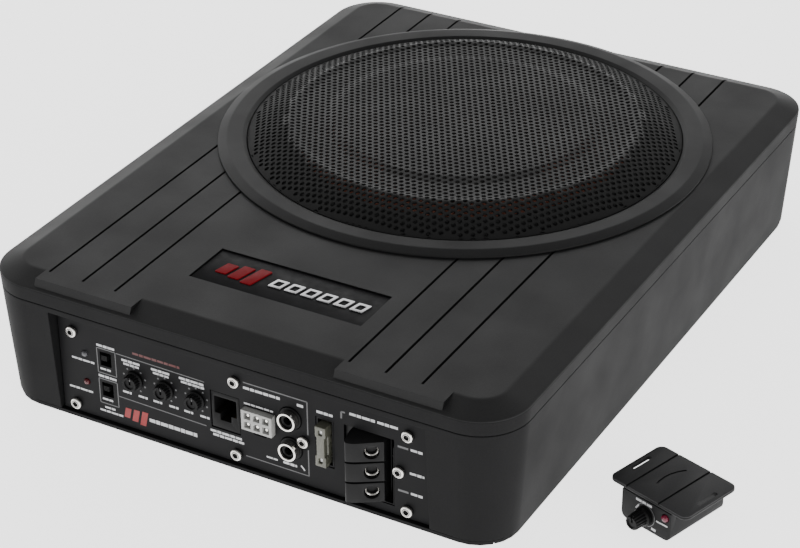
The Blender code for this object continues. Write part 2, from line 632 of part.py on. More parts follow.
def make_electronics(board, copper, can, aluminium):
    place("amplifier_board", box(-80.0, 80.0, -127.0, -66.0, 4.6, 6.2), board, smooth=False)
    coil = [(19.0, 6.6), (20.0, 9.0), (20.0, 19.0), (19.0, 21.4), (9.0, 21.4), (8.0, 19.0),
            (8.0, 9.0), (9.0, 6.6)]
    place("power_transformer", moved(turned(coil, 28, hollow=True),
                                     Matrix.Translation((-44.0, -96.0, 0))), copper)
    can_shape = [(0, 6.5), (9.0, 6.5), (9.0, 35.0), (8.4, 35.6), (0, 35.6)]
    place("filter_capacitor", moved(turned(can_shape, 20, hollow=False),
                                    Matrix.Translation((4.0, -92.0, 0))), can)
    sink = place("heat_sink", box(28.0, 76.0, -84.0, -72.0, 6.5, 36.0), aluminium, smooth=False)
    fins = 5
    for fin in range(fins):
        x = 33.0 + 9.0 * fin
        cut(sink, box(x - 2.0, x + 4.5, -85.0, -76.0, 9.0, 37.0))


# ---- remote control --------------------
def make_remote(plastic, knob_look, red):
    """The level remote, built square on and turned about +Z by its parent."""
    base = bpy.data.objects.new("remote_axes", None)
    bpy.context.scene.collection.objects.link(base)
    base.location = Vector((*REMOTE_AT, 0.0)) * MM
    base.rotation_euler = (0.0, 0.0, math.radians(REMOTE_TURN))
    half = REMOTE_X / 2
    corner = 3.0
    outline = [(-half + corner, 0.0), (half - corner, 0.0), (half - 0.9, 0.9), (half, corner),
               (half, REMOTE_Z), (-half, REMOTE_Z), (-half, corner), (-half + 0.9, 0.9)]
    body = place("remote_housing", prism(outline, "Y", 0.0, REMOTE_Y), plastic, parent=base,
                 smooth=False)
    cut(body, rod(REMOTE_KNOB, 2.1, -1, 6.0, "Y", 12))
    cut(body, rod(REMOTE_LED, LED_R + GAP, -1, 3.0, "Y", 12))
    cut(body, box(-4.9, 4.9, REMOTE_Y - 11, REMOTE_Y + 1, 3.0, 9.6))
    shaft_root = [(0, -5.5), (1.6, -5.5), (1.6, 0.3), (3.7, 0.3), (3.7, 2.0), (3.2, 2.4),
                  (3.0, 7.2), (2.6, 7.6), (0, 7.6)]
    x, z = REMOTE_KNOB
    knob = place("remote_knob", facing_front(turned(shaft_root, 20, hollow=False), x, 0.0, z), knob_look,
                 (x, 0.0, z), parent=base)
    cut(knob, box(x - 0.4, x + 0.4, -9, -7.0, z, z + 4))
    led = [(0, -2.6), (LED_R, -2.6), (LED_R, 0.4), (0.8, 1.1), (0, 1.3)]
    place("remote_led", facing_front(turned(led, 12, hollow=False), REMOTE_LED[0], 0.0,
                                     REMOTE_LED[1]), red, parent=base)
    low = REMOTE_Z + GAP
    plate = place("remote_bracket", from_rings([
        [(x, y + PLATE_Y / 2, low + up) for x, y, _ in rounded_ring(PLATE_X / 2, PLATE_Y / 2, 2.5, 0, 3)]
        for up in (0.0, PLATE_T)]), plastic, parent=base, smooth=False)
    for sign in (-1, 1):
        x = sign * (PLATE_X / 2 - 2.7)
        cut(plate, box(x - 1.2, x + 1.2, *PLATE_SLOT_Y, low - 1, low + 3))


# ---- assembly --------------------
def build():
    clear_scene()
    case = material("case_black", (0.035, 0.035, 0.037), 0.62)
    gloss = material("gloss_black", (0.015, 0.015, 0.016), 0.25)
    matt = material("matt_black", (0.02, 0.02, 0.021), 0.55)
    panel = material("panel_black", (0.025, 0.025, 0.027), 0.5)
    mesh_black = material("grille_black", (0.01, 0.01, 0.01), 0.4, 0.3)
    steel = material("bright_steel", (0.72, 0.72, 0.7), 0.28, 1.0)
    zinc = material("zinc_steel", (0.5, 0.5, 0.5), 0.4, 1.0)
    ferrite = material("ferrite", (0.06, 0.06, 0.065), 0.6)
    paper = material("cone_paper", (0.06, 0.05, 0.045), 0.8)
    rubber = material("rubber", (0.02, 0.02, 0.02), 0.7)
    cloth = material("spider_cloth", (0.5, 0.4, 0.2), 0.9)
    foam = material("foam", (0.03, 0.03, 0.03), 0.95)
    copper = material("copper", (0.6, 0.28, 0.13), 0.4, 1.0)
    board = material("board_green", (0.03, 0.16, 0.06), 0.5)
    can = material("capacitor_sleeve", (0.02, 0.03, 0.05), 0.35)
    aluminium = material("aluminium", (0.6, 0.6, 0.62), 0.4, 1.0)
    white = material("connector_white", (0.72, 0.72, 0.7), 0.45)
    smoke = material("fuse_plastic", (0.4, 0.42, 0.38), 0.3)
    red = material("led_red", (0.5, 0.03, 0.04), 0.25)
    clear = material("led_clear", (0.25, 0.25, 0.26), 0.2)

    make_bottom_plate(zinc)
    make_lower_shell(case)
    make_top_cover(case)
    make_gasket(foam)
    make_long_screws(zinc)
    make_badge(gloss)
    make_grille_ring(case)
    make_grille(mesh_black)
    make_basket(zinc)
    make_motor(zinc, ferrite)
    make_cone_assembly(paper, copper, rubber, cloth)
    make_panel(panel)
    make_panel_screws(steel)
    make_leds(clear, red)
    make_switches(matt, matt)
    make_pots_and_knobs(zinc, matt)
    make_remote_socket(matt)
    make_speaker_socket(white)
    make_rca(matt, steel)
    make_fuse(matt, smoke)
    make_terminal(gloss, steel)
    make_electronics(board, copper, can, aluminium)
    make_remote(matt, matt, red)


build()
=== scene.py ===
"""Looks of a powered under-seat car subwoofer and its level remote.

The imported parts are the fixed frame.  Lengths below are millimetres in the frame of the
parts, +Z up and the control panel facing -Y, and are turned into metres when a mesh is made.
"""
from math import cos, hypot, pi, radians, sin, sqrt, tan

import bmesh
import bpy
from mathutils import Matrix, Vector


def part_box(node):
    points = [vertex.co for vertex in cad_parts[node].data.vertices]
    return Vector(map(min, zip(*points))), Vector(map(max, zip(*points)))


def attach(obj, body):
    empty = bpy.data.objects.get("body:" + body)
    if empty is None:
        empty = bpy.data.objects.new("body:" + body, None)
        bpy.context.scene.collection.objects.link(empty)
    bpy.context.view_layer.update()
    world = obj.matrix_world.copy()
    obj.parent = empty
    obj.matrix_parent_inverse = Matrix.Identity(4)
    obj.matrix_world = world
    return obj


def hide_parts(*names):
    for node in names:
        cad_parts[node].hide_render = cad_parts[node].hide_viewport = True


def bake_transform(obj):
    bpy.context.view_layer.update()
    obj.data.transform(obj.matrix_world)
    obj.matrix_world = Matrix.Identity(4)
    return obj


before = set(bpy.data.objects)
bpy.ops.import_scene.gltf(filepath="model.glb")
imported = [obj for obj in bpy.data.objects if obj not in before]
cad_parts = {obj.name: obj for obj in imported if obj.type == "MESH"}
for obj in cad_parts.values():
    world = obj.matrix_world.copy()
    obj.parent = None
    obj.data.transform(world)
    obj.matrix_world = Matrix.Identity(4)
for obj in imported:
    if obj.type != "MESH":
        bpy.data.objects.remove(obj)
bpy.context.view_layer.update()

MM = 0.001
SHARP = 35.0    # edges sharper than this many degrees stay crisp


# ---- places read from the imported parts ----
def limits(node):
    """Lowest and highest corner of a part, in millimetres."""
    low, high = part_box(node)
    return low / MM, high / MM


def middle(node):
    low, high = limits(node)
    return (low + high) / 2


COVER_LOW, COVER_HIGH = limits("top_cover")
RING_LOW, RING_HIGH = limits("grille_ring")
PANEL_LOW, PANEL_HIGH = limits("control_panel")
BADGE_LOW, BADGE_HIGH = limits("badge_plate")

HALF_X, HALF_Y = COVER_HIGH.x, COVER_HIGH.y
TOP_Z = 60.3    # flat top between ribs
LIP_Z = 56.8    # widest outline
CHAMFER = 9.9    # plan width of the sloping border
DRAFT = 3.8    # lean of the walls, lip to floor
CORNER_R = 20.6
SPEAKER = Vector((0.0, (RING_LOW.y + RING_HIGH.y) / 2, 0.0))
PANEL_FACE, PANEL_BACK = PANEL_LOW.y, PANEL_HIGH.y


# ---- mesh makers: each returns a bmesh in millimetres ----
def rounded(points, radius, steps=5, closed=False):
    """Polyline with its corners eased; radius is one number or one for each point."""
    count = len(points)
    radii = list(radius) if hasattr(radius, "__len__") else [radius] * count
    if not closed:
        radii[0] = radii[-1] = 0
    made = []
    for i, here in enumerate(points):
        if radii[i] <= 0:
            made.append(tuple(here))
            continue
        corner = Vector(here)
        before, after = Vector(points[i - 1]) - corner, Vector(points[(i + 1) % count]) - corner
        half = before.angle(after, pi) / 2
        reach = min(radii[i] / max(tan(half), 1e-3), before.length * 0.49, after.length * 0.49)
        start, end = corner + before.normalized() * reach, corner + after.normalized() * reach
        for t in (step / steps for step in range(steps + 1)):
            made.append(tuple(start * (1 - t) ** 2 + corner * 2 * t * (1 - t) + end * t * t))
    return made


def band(bm, low, high, count):
    """Faces from one ring of vertices to the next."""
    for i in range(count):
        j = (i + 1) % len(low)
        bm.faces.new((low[i], low[j], high[j], high[i]))


def from_rings(rings):
    """Closed skin through equal rings of points."""
    bm = bmesh.new()
    rows = [[bm.verts.new(p) for p in ring] for ring in rings]
    for low, high in zip(rows, rows[1:]):
        band(bm, low, high, len(low))
    bm.faces.new(rows[0][::-1])
    bm.faces.new(rows[-1])
    bmesh.ops.recalc_face_normals(bm, faces=bm.faces)
    return bm


def rounded_ring(half_x, half_y, radius, z, steps=20):
    points = []
    for quarter, (side_x, side_y) in enumerate(((1, 1), (-1, 1), (-1, -1), (1, -1))):
        for step in range(steps + 1):
            angle = pi / 2 * (quarter + step / steps)
            points.append((side_x * (half_x - radius) + radius * cos(angle),
                           side_y * (half_y - radius) + radius * sin(angle), z))
    return points


def along(axis, a, b, depth):
    return {"X": (depth, a, b), "Y": (a, depth, b), "Z": (a, b, depth)}[axis]


def prism(outline, axis, start, end):
    """Straight extrusion of a 2-D outline along 'X', 'Y' or 'Z'."""
    return from_rings([[along(axis, a, b, d) for a, b in outline] for d in (start, end)])


def soft_prism(outline, axis, start, end, edge, corner, steps=3):
    """Extrusion towards a greater depth, whose upright corners and both rims are eased."""
    centre_a = sum(a for a, _ in outline) / len(outline)
    centre_b = sum(b for _, b in outline) / len(outline)
    shape = rounded(outline, corner, steps, closed=True)
    reach = max(max(abs(a - centre_a), abs(b - centre_b)) for a, b in outline)
    rim = [(edge * (1 - sin(angle)), edge * (1 - cos(angle)))
           for angle in (pi / 2 * step / steps for step in range(steps + 1))]
    rings = []
    for inset, depth in ([(inset, start + sink) for inset, sink in rim]
                         + [(inset, end - sink) for inset, sink in rim[::-1]]):
        scale = 1 - inset / reach
        rings.append([along(axis, centre_a + (a - centre_a) * scale,
                            centre_b + (b - centre_b) * scale, depth) for a, b in shape])
    return from_rings(rings)


def box(x0, x1, y0, y1, z0, z1):
    return prism(oblong(x0, x1, y0, y1), "Z", z0, z1)


def box_at(at, half_x, half_z, y0, y1):
    """Box from one depth to another, centred on a point of the panel's face."""
    return box(at.x - half_x, at.x + half_x, y0, y1, at.z - half_z, at.z + half_z)


def plate_box(low, high, y0, y1, rim=0.0):
    """Box over the front of a part, wider than it by a rim."""
    return box(low.x - rim, high.x + rim, y0, y1, low.z - rim, high.z + rim)


def oblong(a0, a1, b0, b1):
    return [(a0, b0), (a1, b0), (a1, b1), (a0, b1)]


def rod(centre, radius, start, end, axis="Y", sides=32):
    steps = [2 * pi * i / sides for i in range(sides)]
    outline = [(centre[0] + radius * cos(a), centre[1] + radius * sin(a)) for a in steps]
    return prism(outline, axis, start, end)


def turned(profile, sides=64, hollow=False, start=0.0, sweep=1.0):
    """Turn (radius, height) points about Z.  A hollow profile is a closed section;
    a solid one starts and ends on the axis.  sweep below 1 makes an open arc."""
    whole = sweep >= 1.0
    count = sides if whole else sides + 1
    ways = [start + 2 * pi * sweep * i / sides for i in range(count)]
    bm = bmesh.new()
    rows = [[bm.verts.new((r * cos(a), r * sin(a), z)) for a in ways]
            for r, z in (profile if hollow else profile[1:-1])]
    for low, high in zip(rows, rows[1:] + (rows[:1] if hollow else [])):
        band(bm, low, high, sides)
    if not hollow:
        for row, (_, height) in ((rows[0], profile[0]), (rows[-1], profile[-1])):
            tip = bm.verts.new((0.0, 0.0, height))
            for i in range(count):
                bm.faces.new((row[i], row[(i + 1) % count], tip))
    elif not whole:
        bm.faces.new([row[0] for row in rows])
        bm.faces.new([row[-1] for row in reversed(rows)])
    bmesh.ops.recalc_face_normals(bm, faces=bm.faces)
    return bm


def shift(x, y, z):
    return Matrix.Translation((x, y, z))


def spin(angle, axis):
    return Matrix.Rotation(angle, 4, axis)


def moved(bm, matrix):
    bmesh.ops.transform(bm, matrix=matrix, verts=bm.verts)
    bmesh.ops.recalc_face_normals(bm, faces=bm.faces)
    return bm


def to_front(x, y, z):
    """Placing of a piece made about Z at a point, with its +Z end towards -Y."""
    return shift(x, y, z) @ spin(pi / 2, "X")


def on_panel(node):
    """Placing of such a piece on the panel's face, at the middle of a part."""
    at = middle(node)
    return to_front(at.x, PANEL_FACE, at.z)


def metres(matrix):
    """The same placing for a mesh that is already in metres."""
    made = matrix.copy()
    made.translation = matrix.translation * MM
    return made


def joined(*shapes):
    """Several closed shapes in one mesh."""
    whole = bmesh.new()
    for bm in shapes:
        loose = bpy.data.meshes.new("loose")
        bm.to_mesh(loose)
        bm.free()
        whole.from_mesh(loose)
        bpy.data.meshes.remove(loose)
    return whole


# ---- objects ----
def new_object(name, data):
    made = bpy.data.objects.new(name, data)
    bpy.context.scene.collection.objects.link(made)
    return made


def as_object(name, bm, matrix=None):
    """Object of a mesh given in millimetres, placed first by a matrix."""
    if matrix is not None:
        moved(bm, matrix)
    bmesh.ops.transform(bm, matrix=Matrix.Scale(MM, 4), verts=bm.verts)
    mesh = bpy.data.meshes.new(name)
    bm.to_mesh(mesh)
    bm.free()
    return new_object(name, mesh)


def apply_all(made):
    """Turn the object's modifiers into its mesh."""
    graph = bpy.context.evaluated_depsgraph_get()
    mesh = bpy.data.meshes.new_from_object(made.evaluated_get(graph))
    old = made.data
    made.modifiers.clear()
    made.data = mesh
    bpy.data.meshes.remove(old)


def carve(made, cuts=(), adds=()):
    """Add, then take away, shapes given in millimetres."""
    for operation, shapes in (("UNION", adds), ("DIFFERENCE", cuts)):
        for bm in shapes:
            tool = as_object("tool", bm)
            step = made.modifiers.new("carve", "BOOLEAN")
            step.operation = operation
            step.object = tool
            step.solver = "EXACT"
            apply_all(made)
            bpy.data.objects.remove(tool, do_unlink=True)


def eased(made, width, segments=3, angle=SHARP):
    """Round the sharp edges of a finished shape."""
    bm = bmesh.new()
    bm.from_mesh(made.data)
    bmesh.ops.remove_doubles(bm, verts=bm.verts, dist=0.02 * MM)
    bmesh.ops.dissolve_limit(bm, angle_limit=radians(0.4), verts=bm.verts, edges=bm.edges)
    bm.to_mesh(made.data)
    bm.free()
    edge = made.modifiers.new("edge", "BEVEL")
    edge.width = width * MM
    edge.segments = segments
    edge.limit_method = "ANGLE"
    edge.angle_limit = radians(angle)
    edge.miter_outer = "MITER_ARC"
    edge.use_clamp_overlap = True
    apply_all(made)


def smoothed(made, look, sharp):
    made.data.materials.clear()
    made.data.materials.append(look)
    made.data.shade_smooth()
    made.data.set_sharp_from_angle(angle=radians(sharp))


def finish_piece(made, look, stands_for=(), body="enclosure", sharp=SHARP, flat_faces=False):
    """Shading, material and the body that the piece rides on."""
    smoothed(made, look, sharp)
    if flat_faces:
        weight = made.modifiers.new("flat", "WEIGHTED_NORMAL")
        weight.keep_sharp = True
        weight.weight = 90
        apply_all(made)
    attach(made, body)
    if stands_for:
        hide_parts(*stands_for)


def piece(name, bm, look, stands_for=(), body="enclosure", sharp=SHARP, matrix=None):
    finish_piece(as_object(name, bm, matrix), look, stands_for, body, sharp)


# ---- materials ----
def add_node(tree, kind, **values):
    """New shader node, with some of its inputs set by name."""
    made = tree.nodes.new("ShaderNode" + kind)
    for socket, value in values.items():
        made.inputs[socket].default_value = value
    return made


def shader_of(look):
    return look.node_tree.nodes["Principled BSDF"]


def plain(name, colour, roughness, specular=0.5, metallic=0.0, **sockets):
    look = bpy.data.materials.new(name)
    look.use_nodes = True
    sockets |= {"Base Color": (*colour, 1.0), "Roughness": roughness, "Metallic": metallic,
                "Specular IOR Level": specular}
    for socket, value in sockets.items():
        shader_of(look).inputs[socket].default_value = value
    return look


def clear(name, colour, roughness, transmission):
    """Smooth plastic that lets some light through."""
    look = smooth_plastic(name, colour, roughness)
    shader_of(look).inputs["Transmission Weight"].default_value = transmission
    return look


def noise(look, size, detail=3.0, stretch=None):
    """Noise whose features are about size millimetres wide."""
    tree = look.node_tree
    made = add_node(tree, "TexNoise", Scale=1.0 / (size * MM), Detail=detail, Roughness=0.55)
    source = add_node(tree, "TexCoord").outputs["Object"]
    if stretch is not None:
        turn = add_node(tree, "Mapping", Scale=stretch)
        tree.links.new(source, turn.inputs["Vector"])
        source = turn.outputs["Vector"]
    tree.links.new(source, made.inputs["Vector"])
    return made.outputs["Fac"]


def ramp(tree, source, stops):
    """Colour ramp through (place, grey or colour) stops."""
    made = add_node(tree, "ValToRGB")
    tree.links.new(source, made.inputs["Fac"])
    entries = made.color_ramp.elements
    while len(entries) < len(stops):
        entries.new(0.5)
    for entry, (where, value) in zip(entries, stops):
        colour = value if hasattr(value, "__len__") else (value, value, value)
        entry.position = where
        entry.color = (*colour, 1.0)
    return made.outputs["Color"]


def vary(look, socket, source, low, high):
    """Drive a socket from low to high by a noise."""
    shades = ramp(look.node_tree, source, ((0.3, low), (0.7, high)))
    look.node_tree.links.new(shades, shader_of(look).inputs[socket])


def vary_colour(look, source, colour, low, high):
    darker, lighter = (tuple(min(c * share, 1.0) for c in colour) for share in (low, high))
    vary(look, "Base Color", source, darker, lighter)


def bump(look, source, depth, strength, after=None):
    """Surface relief of a depth in millimetres; returns its normal for chaining."""
    tree = look.node_tree
    made = add_node(tree, "Bump", Strength=strength, Distance=depth * MM)
    tree.links.new(source, made.inputs["Height"])
    if after is not None:
        tree.links.new(after, made.inputs["Normal"])
    tree.links.new(made.outputs["Normal"], shader_of(look).inputs["Normal"])
    return made.outputs["Normal"]


def moulded(name, colour, roughness, specular=0.5, grain=0.55, depth=0.03):
    """Spark-textured plastic: fine grain, faint blotches, uneven sheen."""
    look = plain(name, colour, roughness, specular)
    fine = noise(look, grain, 4.0)
    vary_colour(look, fine, colour, 0.82, 1.18)
    vary(look, "Roughness", noise(look, 28.0), roughness - 0.05, roughness + 0.05)
    bump(look, noise(look, 9.0, 2.0), 0.03, 0.3, after=bump(look, fine, depth, 0.8))
    return look


def smooth_plastic(name, colour, roughness, specular=0.5):
    look = plain(name, colour, roughness, specular)
    vary(look, "Roughness", noise(look, 6.0, 4.0), roughness * 0.8, roughness * 1.25)
    vary_colour(look, noise(look, 1.4), colour, 0.9, 1.12)
    bump(look, noise(look, 1.2, 2.0), 0.01, 0.35)
    return look


def metal(name, colour, roughness, stretch=None):
    """Plated or brushed metal; stretch draws the scratches out along an axis."""
    look = plain(name, colour, roughness, metallic=1.0)
    scratch = noise(look, 0.5, 4.0, stretch)
    vary(look, "Roughness", scratch, roughness * 0.7, roughness * 1.4)
    vary_colour(look, noise(look, 3.0), colour, 0.85, 1.08)
    bump(look, scratch, 0.004, 0.5)
    return look


# colour, roughness, then specular level, width and depth of the grain where it isn't the usual
CASE = moulded("case_plastic", (0.0148, 0.0148, 0.0151), 0.56, 0.28)
# darker, duller copy of the case plastic for upright walls, the shell and the base plate: painted
# shade
WALL_PAINTED_SHADE = moulded("wall_plastic_painted_shade", (0.0095, 0.0095, 0.0098), 0.6, 0.06)
RING = moulded("ring_plastic", (0.012, 0.012, 0.0123), 0.52, 0.26, 0.45, 0.02)
GRILLE = moulded("grille_coat", (0.016, 0.016, 0.016), 0.6, 0.14, 0.4, 0.02)
# lighter copy of the grille coat for the middle of the grille: painted sheen where the light falls
# on the strands
GRILLE_PAINTED_SHEEN = moulded("grille_coat_painted_sheen", (0.024, 0.024, 0.024), 0.5, 0.3, 0.4, 0.02)
BADGE = smooth_plastic("badge_gloss", (0.009, 0.009, 0.01), 0.5, 0.1)
BADGE_RED = smooth_plastic("badge_red", (0.25, 0.002, 0.008), 0.5, 0.1)
BADGE_SILVER = metal("badge_silver", (0.55, 0.55, 0.56), 0.25, (1, 8, 1))
PANEL = moulded("panel_paint", (0.0075, 0.0075, 0.008), 0.5, 0.08, 0.35, 0.012)
INK_WHITE = smooth_plastic("ink_white", (0.5, 0.5, 0.51), 0.5)
INK_GREY = smooth_plastic("ink_grey", (0.085, 0.085, 0.087), 0.5)
INK_RED = smooth_plastic("ink_red", (0.07, 0.004, 0.004), 0.5)
MARK_RED = smooth_plastic("mark_red", (0.23, 0.001, 0.001), 0.45)
SCREW = metal("bright_zinc", (0.78, 0.76, 0.72), 0.25)
# dark non-metal look for the faces inside driver recesses and sockets: painted shade
RECESS_PAINTED_SHADE = smooth_plastic("recess_painted_shade", (0.01, 0.01, 0.01), 0.6)
NICKEL = metal("nickel", (0.82, 0.8, 0.76), 0.18)
STEEL = metal("zinc_plated_steel", (0.5, 0.5, 0.5), 0.4)
BLACK = smooth_plastic("moulded_black", (0.005, 0.005, 0.0052), 0.45, 0.12)
KNOB = smooth_plastic("knob_plastic", (0.004, 0.004, 0.0042), 0.42, 0.12)
GOLD = metal("gold_contact", (0.85, 0.62, 0.28), 0.25)
GLOSS = smooth_plastic("terminal_black", (0.006, 0.006, 0.0062), 0.36, 0.14)
NYLON = smooth_plastic("nylon", (0.33, 0.33, 0.32), 0.45)
SMOKE = clear("fuse_plastic", (0.11, 0.11, 0.085), 0.25, 0.2)
CONE = moulded("cone_paper", (0.45, 0.15, 0.09), 0.75, 0.5, 0.9, 0.06)
CAP = moulded("cap_paper", (0.07, 0.06, 0.055), 0.6, 0.5, 0.7, 0.04)
RUBBER = moulded("surround_rubber", (0.02, 0.02, 0.02), 0.55, 0.5, 0.7, 0.02)
CLOTH = moulded("spider_cloth", (0.45, 0.33, 0.14), 0.85, 0.5, 0.6, 0.1)
PAINTED = moulded("painted_steel", (0.03, 0.03, 0.031), 0.5, 0.5, 0.5, 0.02)
FERRITE = moulded("ferrite", (0.06, 0.06, 0.065), 0.6, 0.5, 0.8, 0.03)
COPPER = metal("copper_winding", (0.65, 0.27, 0.12), 0.35, (1, 1, 10))
BOARD = smooth_plastic("board_green", (0.02, 0.13, 0.05), 0.35)
SLEEVE = smooth_plastic("capacitor_sleeve", (0.02, 0.03, 0.07), 0.3)
ALUMINIUM = metal("aluminium", (0.66, 0.66, 0.68), 0.35, (1, 1, 12))
LAMP_RED = clear("lamp_red", (0.17, 0.006, 0.03), 0.2, 0.3)
LAMP_DULL = clear("lamp_dull_red", (0.1, 0.008, 0.012), 0.2, 0.3)
LAMP_CLEAR = clear("lamp_clear", (0.1, 0.1, 0.11), 0.2, 0.4)
# darker copy of the remote plastic for the case and the plate's upright edges: painted shade
REMOTE_PAINTED_SHADE = moulded("remote_plastic_painted_shade", (0.0135, 0.0135, 0.0138), 0.55, 0.1, 0.5, 0.015)
REMOTE = moulded("remote_plastic", (0.038, 0.038, 0.039), 0.52, 0.28, 0.5, 0.015)


# ---- enclosure ----
def lean_at(z):
    """How far the outside of the wall has moved in at a height."""
    return DRAFT * (LIP_Z - z) / LIP_Z


def outline_at(z, inset=0.0):
    lean = lean_at(z) + inset
    return rounded_ring(HALF_X - lean, HALF_Y - lean, max(CORNER_R - lean, 2.0), z)


UPRIGHT = 0.35    # greatest rise of the normal of a face that still counts as a wall


def paint_shade_on_walls(made, look):
    """Give the upright faces a second, darker look: painted shade on the walls."""
    made.data.materials.append(look)
    for face in made.data.polygons:
        if abs(face.normal.z) < UPRIGHT:
            face.material_index = 1


RIB_EDGES = (44.4, 89.0)
GROOVES = (-86.5, -71.0, -56.0, 47.0, 62.2, 77.3)
GROOVE_WIDE, GROOVE_DEEP, GROOVE_FRONT = 1.1, 1.6, -139.5
NOSE_Y, NOSE_ROOT = -146.0, -136.0


def make_cover():
    low = COVER_LOW.z
    section = rounded([(lean_at(low), low), (0.0, LIP_Z), (CHAMFER, TOP_Z), (CHAMFER + 7.0, TOP_Z)],
                      [0, 1.0, 5.0, 0], 6)
    rings = [rounded_ring(HALF_X - i, HALF_Y - i, max(CORNER_R - i, 3.0), z) for i, z in section]
    cover = as_object("cover_moulding", from_rings(rings))
    side = [(NOSE_ROOT, 58.2), (NOSE_ROOT, TOP_Z), (NOSE_Y, TOP_Z), (NOSE_Y - 1.5, 57.0),
            (NOSE_ROOT - 5.0, 57.0)]
    noses = [prism(side, "X", *sorted(sign * edge for edge in RIB_EDGES)) for sign in (-1, 1)]
    cuts = []
    for edge in GROOVES:
        left, floor = edge - GROOVE_WIDE, TOP_Z - GROOVE_DEEP
        notch = [(left, TOP_Z + 0.02), (left, TOP_Z + 2), (edge, TOP_Z + 2), (edge, floor),
                 (edge - 0.7, floor)]
        cuts.append(prism(notch, "Y", GROOVE_FRONT, HALF_Y - CHAMFER + 2.5))
    well = [(0, 40.0), (89.0, 40.0), (89.0, 56.0), (100.0, 56.0), (100.0, 70.0), (0, 70.0)]
    cuts.append(moved(turned(well, 160), shift(*SPEAKER)))
    rim = 0.3
    cuts.append(box(BADGE_LOW.x - rim, BADGE_HIGH.x + rim, BADGE_LOW.y - rim, BADGE_HIGH.y + rim,
                    BADGE_LOW.z - rim, TOP_Z + 2))
    carve(cover, cuts, noses)
    eased(cover, 0.35, 2)
    finish_piece(cover, CASE, ["top_cover"], flat_faces=True)
    # upright faces of the cover get the darker copy of the plastic: painted shade
    paint_shade_on_walls(cover, WALL_PAINTED_SHADE)


NOTCH_X, NOTCH_TOP = 82.7, 47.8


def make_shell():
    low, high = (corner.z for corner in limits("lower_shell"))
    soft = 0.5
    heights = [(soft, low), (0.15, low + 0.2), (0.0, low + soft), (0.0, high - soft),
               (0.15, high - 0.2), (0.4, high)]
    shell = as_object("shell_moulding", from_rings([outline_at(z, inset) for inset, z in heights]))
    back = PANEL_HIGH.y + 0.3
    skin = HALF_Y - 0.5    # the frame starts just inside the wall's face
    top, inside = high - 0.4, back + 3.0
    frame_side = [(lean_at(low) - skin, low), (lean_at(high) - skin, top), (inside, top),
                  (inside, low)]
    carve(shell, [from_rings([outline_at(low - 1, 3.0), outline_at(high + 1, 3.0)])])
    carve(shell, [box(-NOTCH_X, NOTCH_X, -152.0, back, low - 1, NOTCH_TOP),
                  box(-71.5, 74.4, -144.0, back + 5, 4.6, 44.5)],
          [prism(frame_side, "X", -88.0, 88.0)])
    eased(shell, 0.4, 2)
    # the shell takes the darker copy of the case plastic: painted shade
    finish_piece(shell, WALL_PAINTED_SHADE, ["lower_shell"], flat_faces=True)


def make_badge():
    left, face, mid_y = BADGE_LOW.x, BADGE_HIGH.z, (BADGE_LOW.y + BADGE_HIGH.y) / 2
    plate = soft_prism(oblong(left, BADGE_HIGH.x, BADGE_LOW.y, BADGE_HIGH.y), "Z", BADGE_LOW.z,
                       face, 0.15, 0.5)
    piece("badge_inlay", plate, BADGE, ["badge_plate"])
    bars = [badge_bar(left + 7.0 + 6.6 * index, mid_y, 5.0, 7.5 + 2.4 * index, face)
            for index in range(3)]
    piece("badge_mark_red", joined(*bars), BADGE_RED)
    places = [left + 30.5 + 7.2 * index for index in range(6)]
    links = as_object("badge_mark_silver",
                      joined(*[badge_bar(x, mid_y - 0.4, 5.6, 6.0, face) for x in places]))
    carve(links, [joined(*[badge_bar(x + 1.25, mid_y - 0.4, 3.1, 3.4, face + 0.6, 2.0)
                           for x in places])])
    finish_piece(links, BADGE_SILVER)


LEAN = 0.22    # of the marks' bars, for each millimetre of height


def leaning(x, z, width, height):
    """Outline of a bar that leans over to the right."""
    lean = LEAN * height
    return [(x, z - height / 2), (x + width, z - height / 2), (x + width + lean, z + height / 2),
            (x + lean, z + height / 2)]


def badge_bar(x, y, width, height, face, deep=0.0):
    """Raised bar of the badge's plain mark."""
    return soft_prism(leaning(x - LEAN / 2 * height, y, width, height), "Z", face - 0.05 - deep,
                      face + 0.45, 0.12, 0.5)


# ---- loudspeaker ----
def on_speaker(name, bm, look, stands_for=(), body="enclosure", sharp=SHARP):
    piece(name, bm, look, stands_for, body, sharp, shift(*SPEAKER))


def make_ring():
    foot, low, top, edge = RING_LOW.z, RING_LOW.z + 0.6, RING_HIGH.z, RING_HIGH.x
    section = rounded([(edge, low), (edge, low + 0.6), (100.8, top), (94.2, top - 0.15),
                       (92.4, top - 1.2), (92.4, foot), (99.6, foot), (99.6, low)],
                      [0, 0.4, 3.0, 1.2, 0.6, 0, 0, 0], 6, closed=True)
    on_speaker("ring_moulding", turned(section, 192, hollow=True), RING,
               ["grille_ring"], sharp=40.0)


GRILLE_R, GRILLE_SHEET, GRILLE_BORDER, GRILLE_SPLIT = 92.0, 0.9, 1.7, 75.5
HOLE_PITCH, HOLE_R = 2.9, 1.0
GRILLE_SECTION = rounded([(0.0, 70.0), (54.6, 69.85), (59.4, 68.8), (70.4, 68.65), (73.8, 69.45),
                          (84.0, 65.7), (92.0, 61.6)], [0, 2.5, 2.0, 1.5, 3.0, 30.0, 0], 8)


def grille_height(radius):
    for (r0, z0), (r1, z1) in zip(GRILLE_SECTION, GRILLE_SECTION[1:]):
        if radius <= r1:
            return z0 + (z1 - z0) * (radius - r0) / max(r1 - r0, 1e-6)
    return GRILLE_SECTION[-1][1]


def grille_point(x, y, sheet):
    radius = hypot(x, y)
    if radius > GRILLE_R:
        x, y, radius = x * GRILLE_R / radius, y * GRILLE_R / radius, GRILLE_R
    return (x, y, grille_height(radius) - sheet)


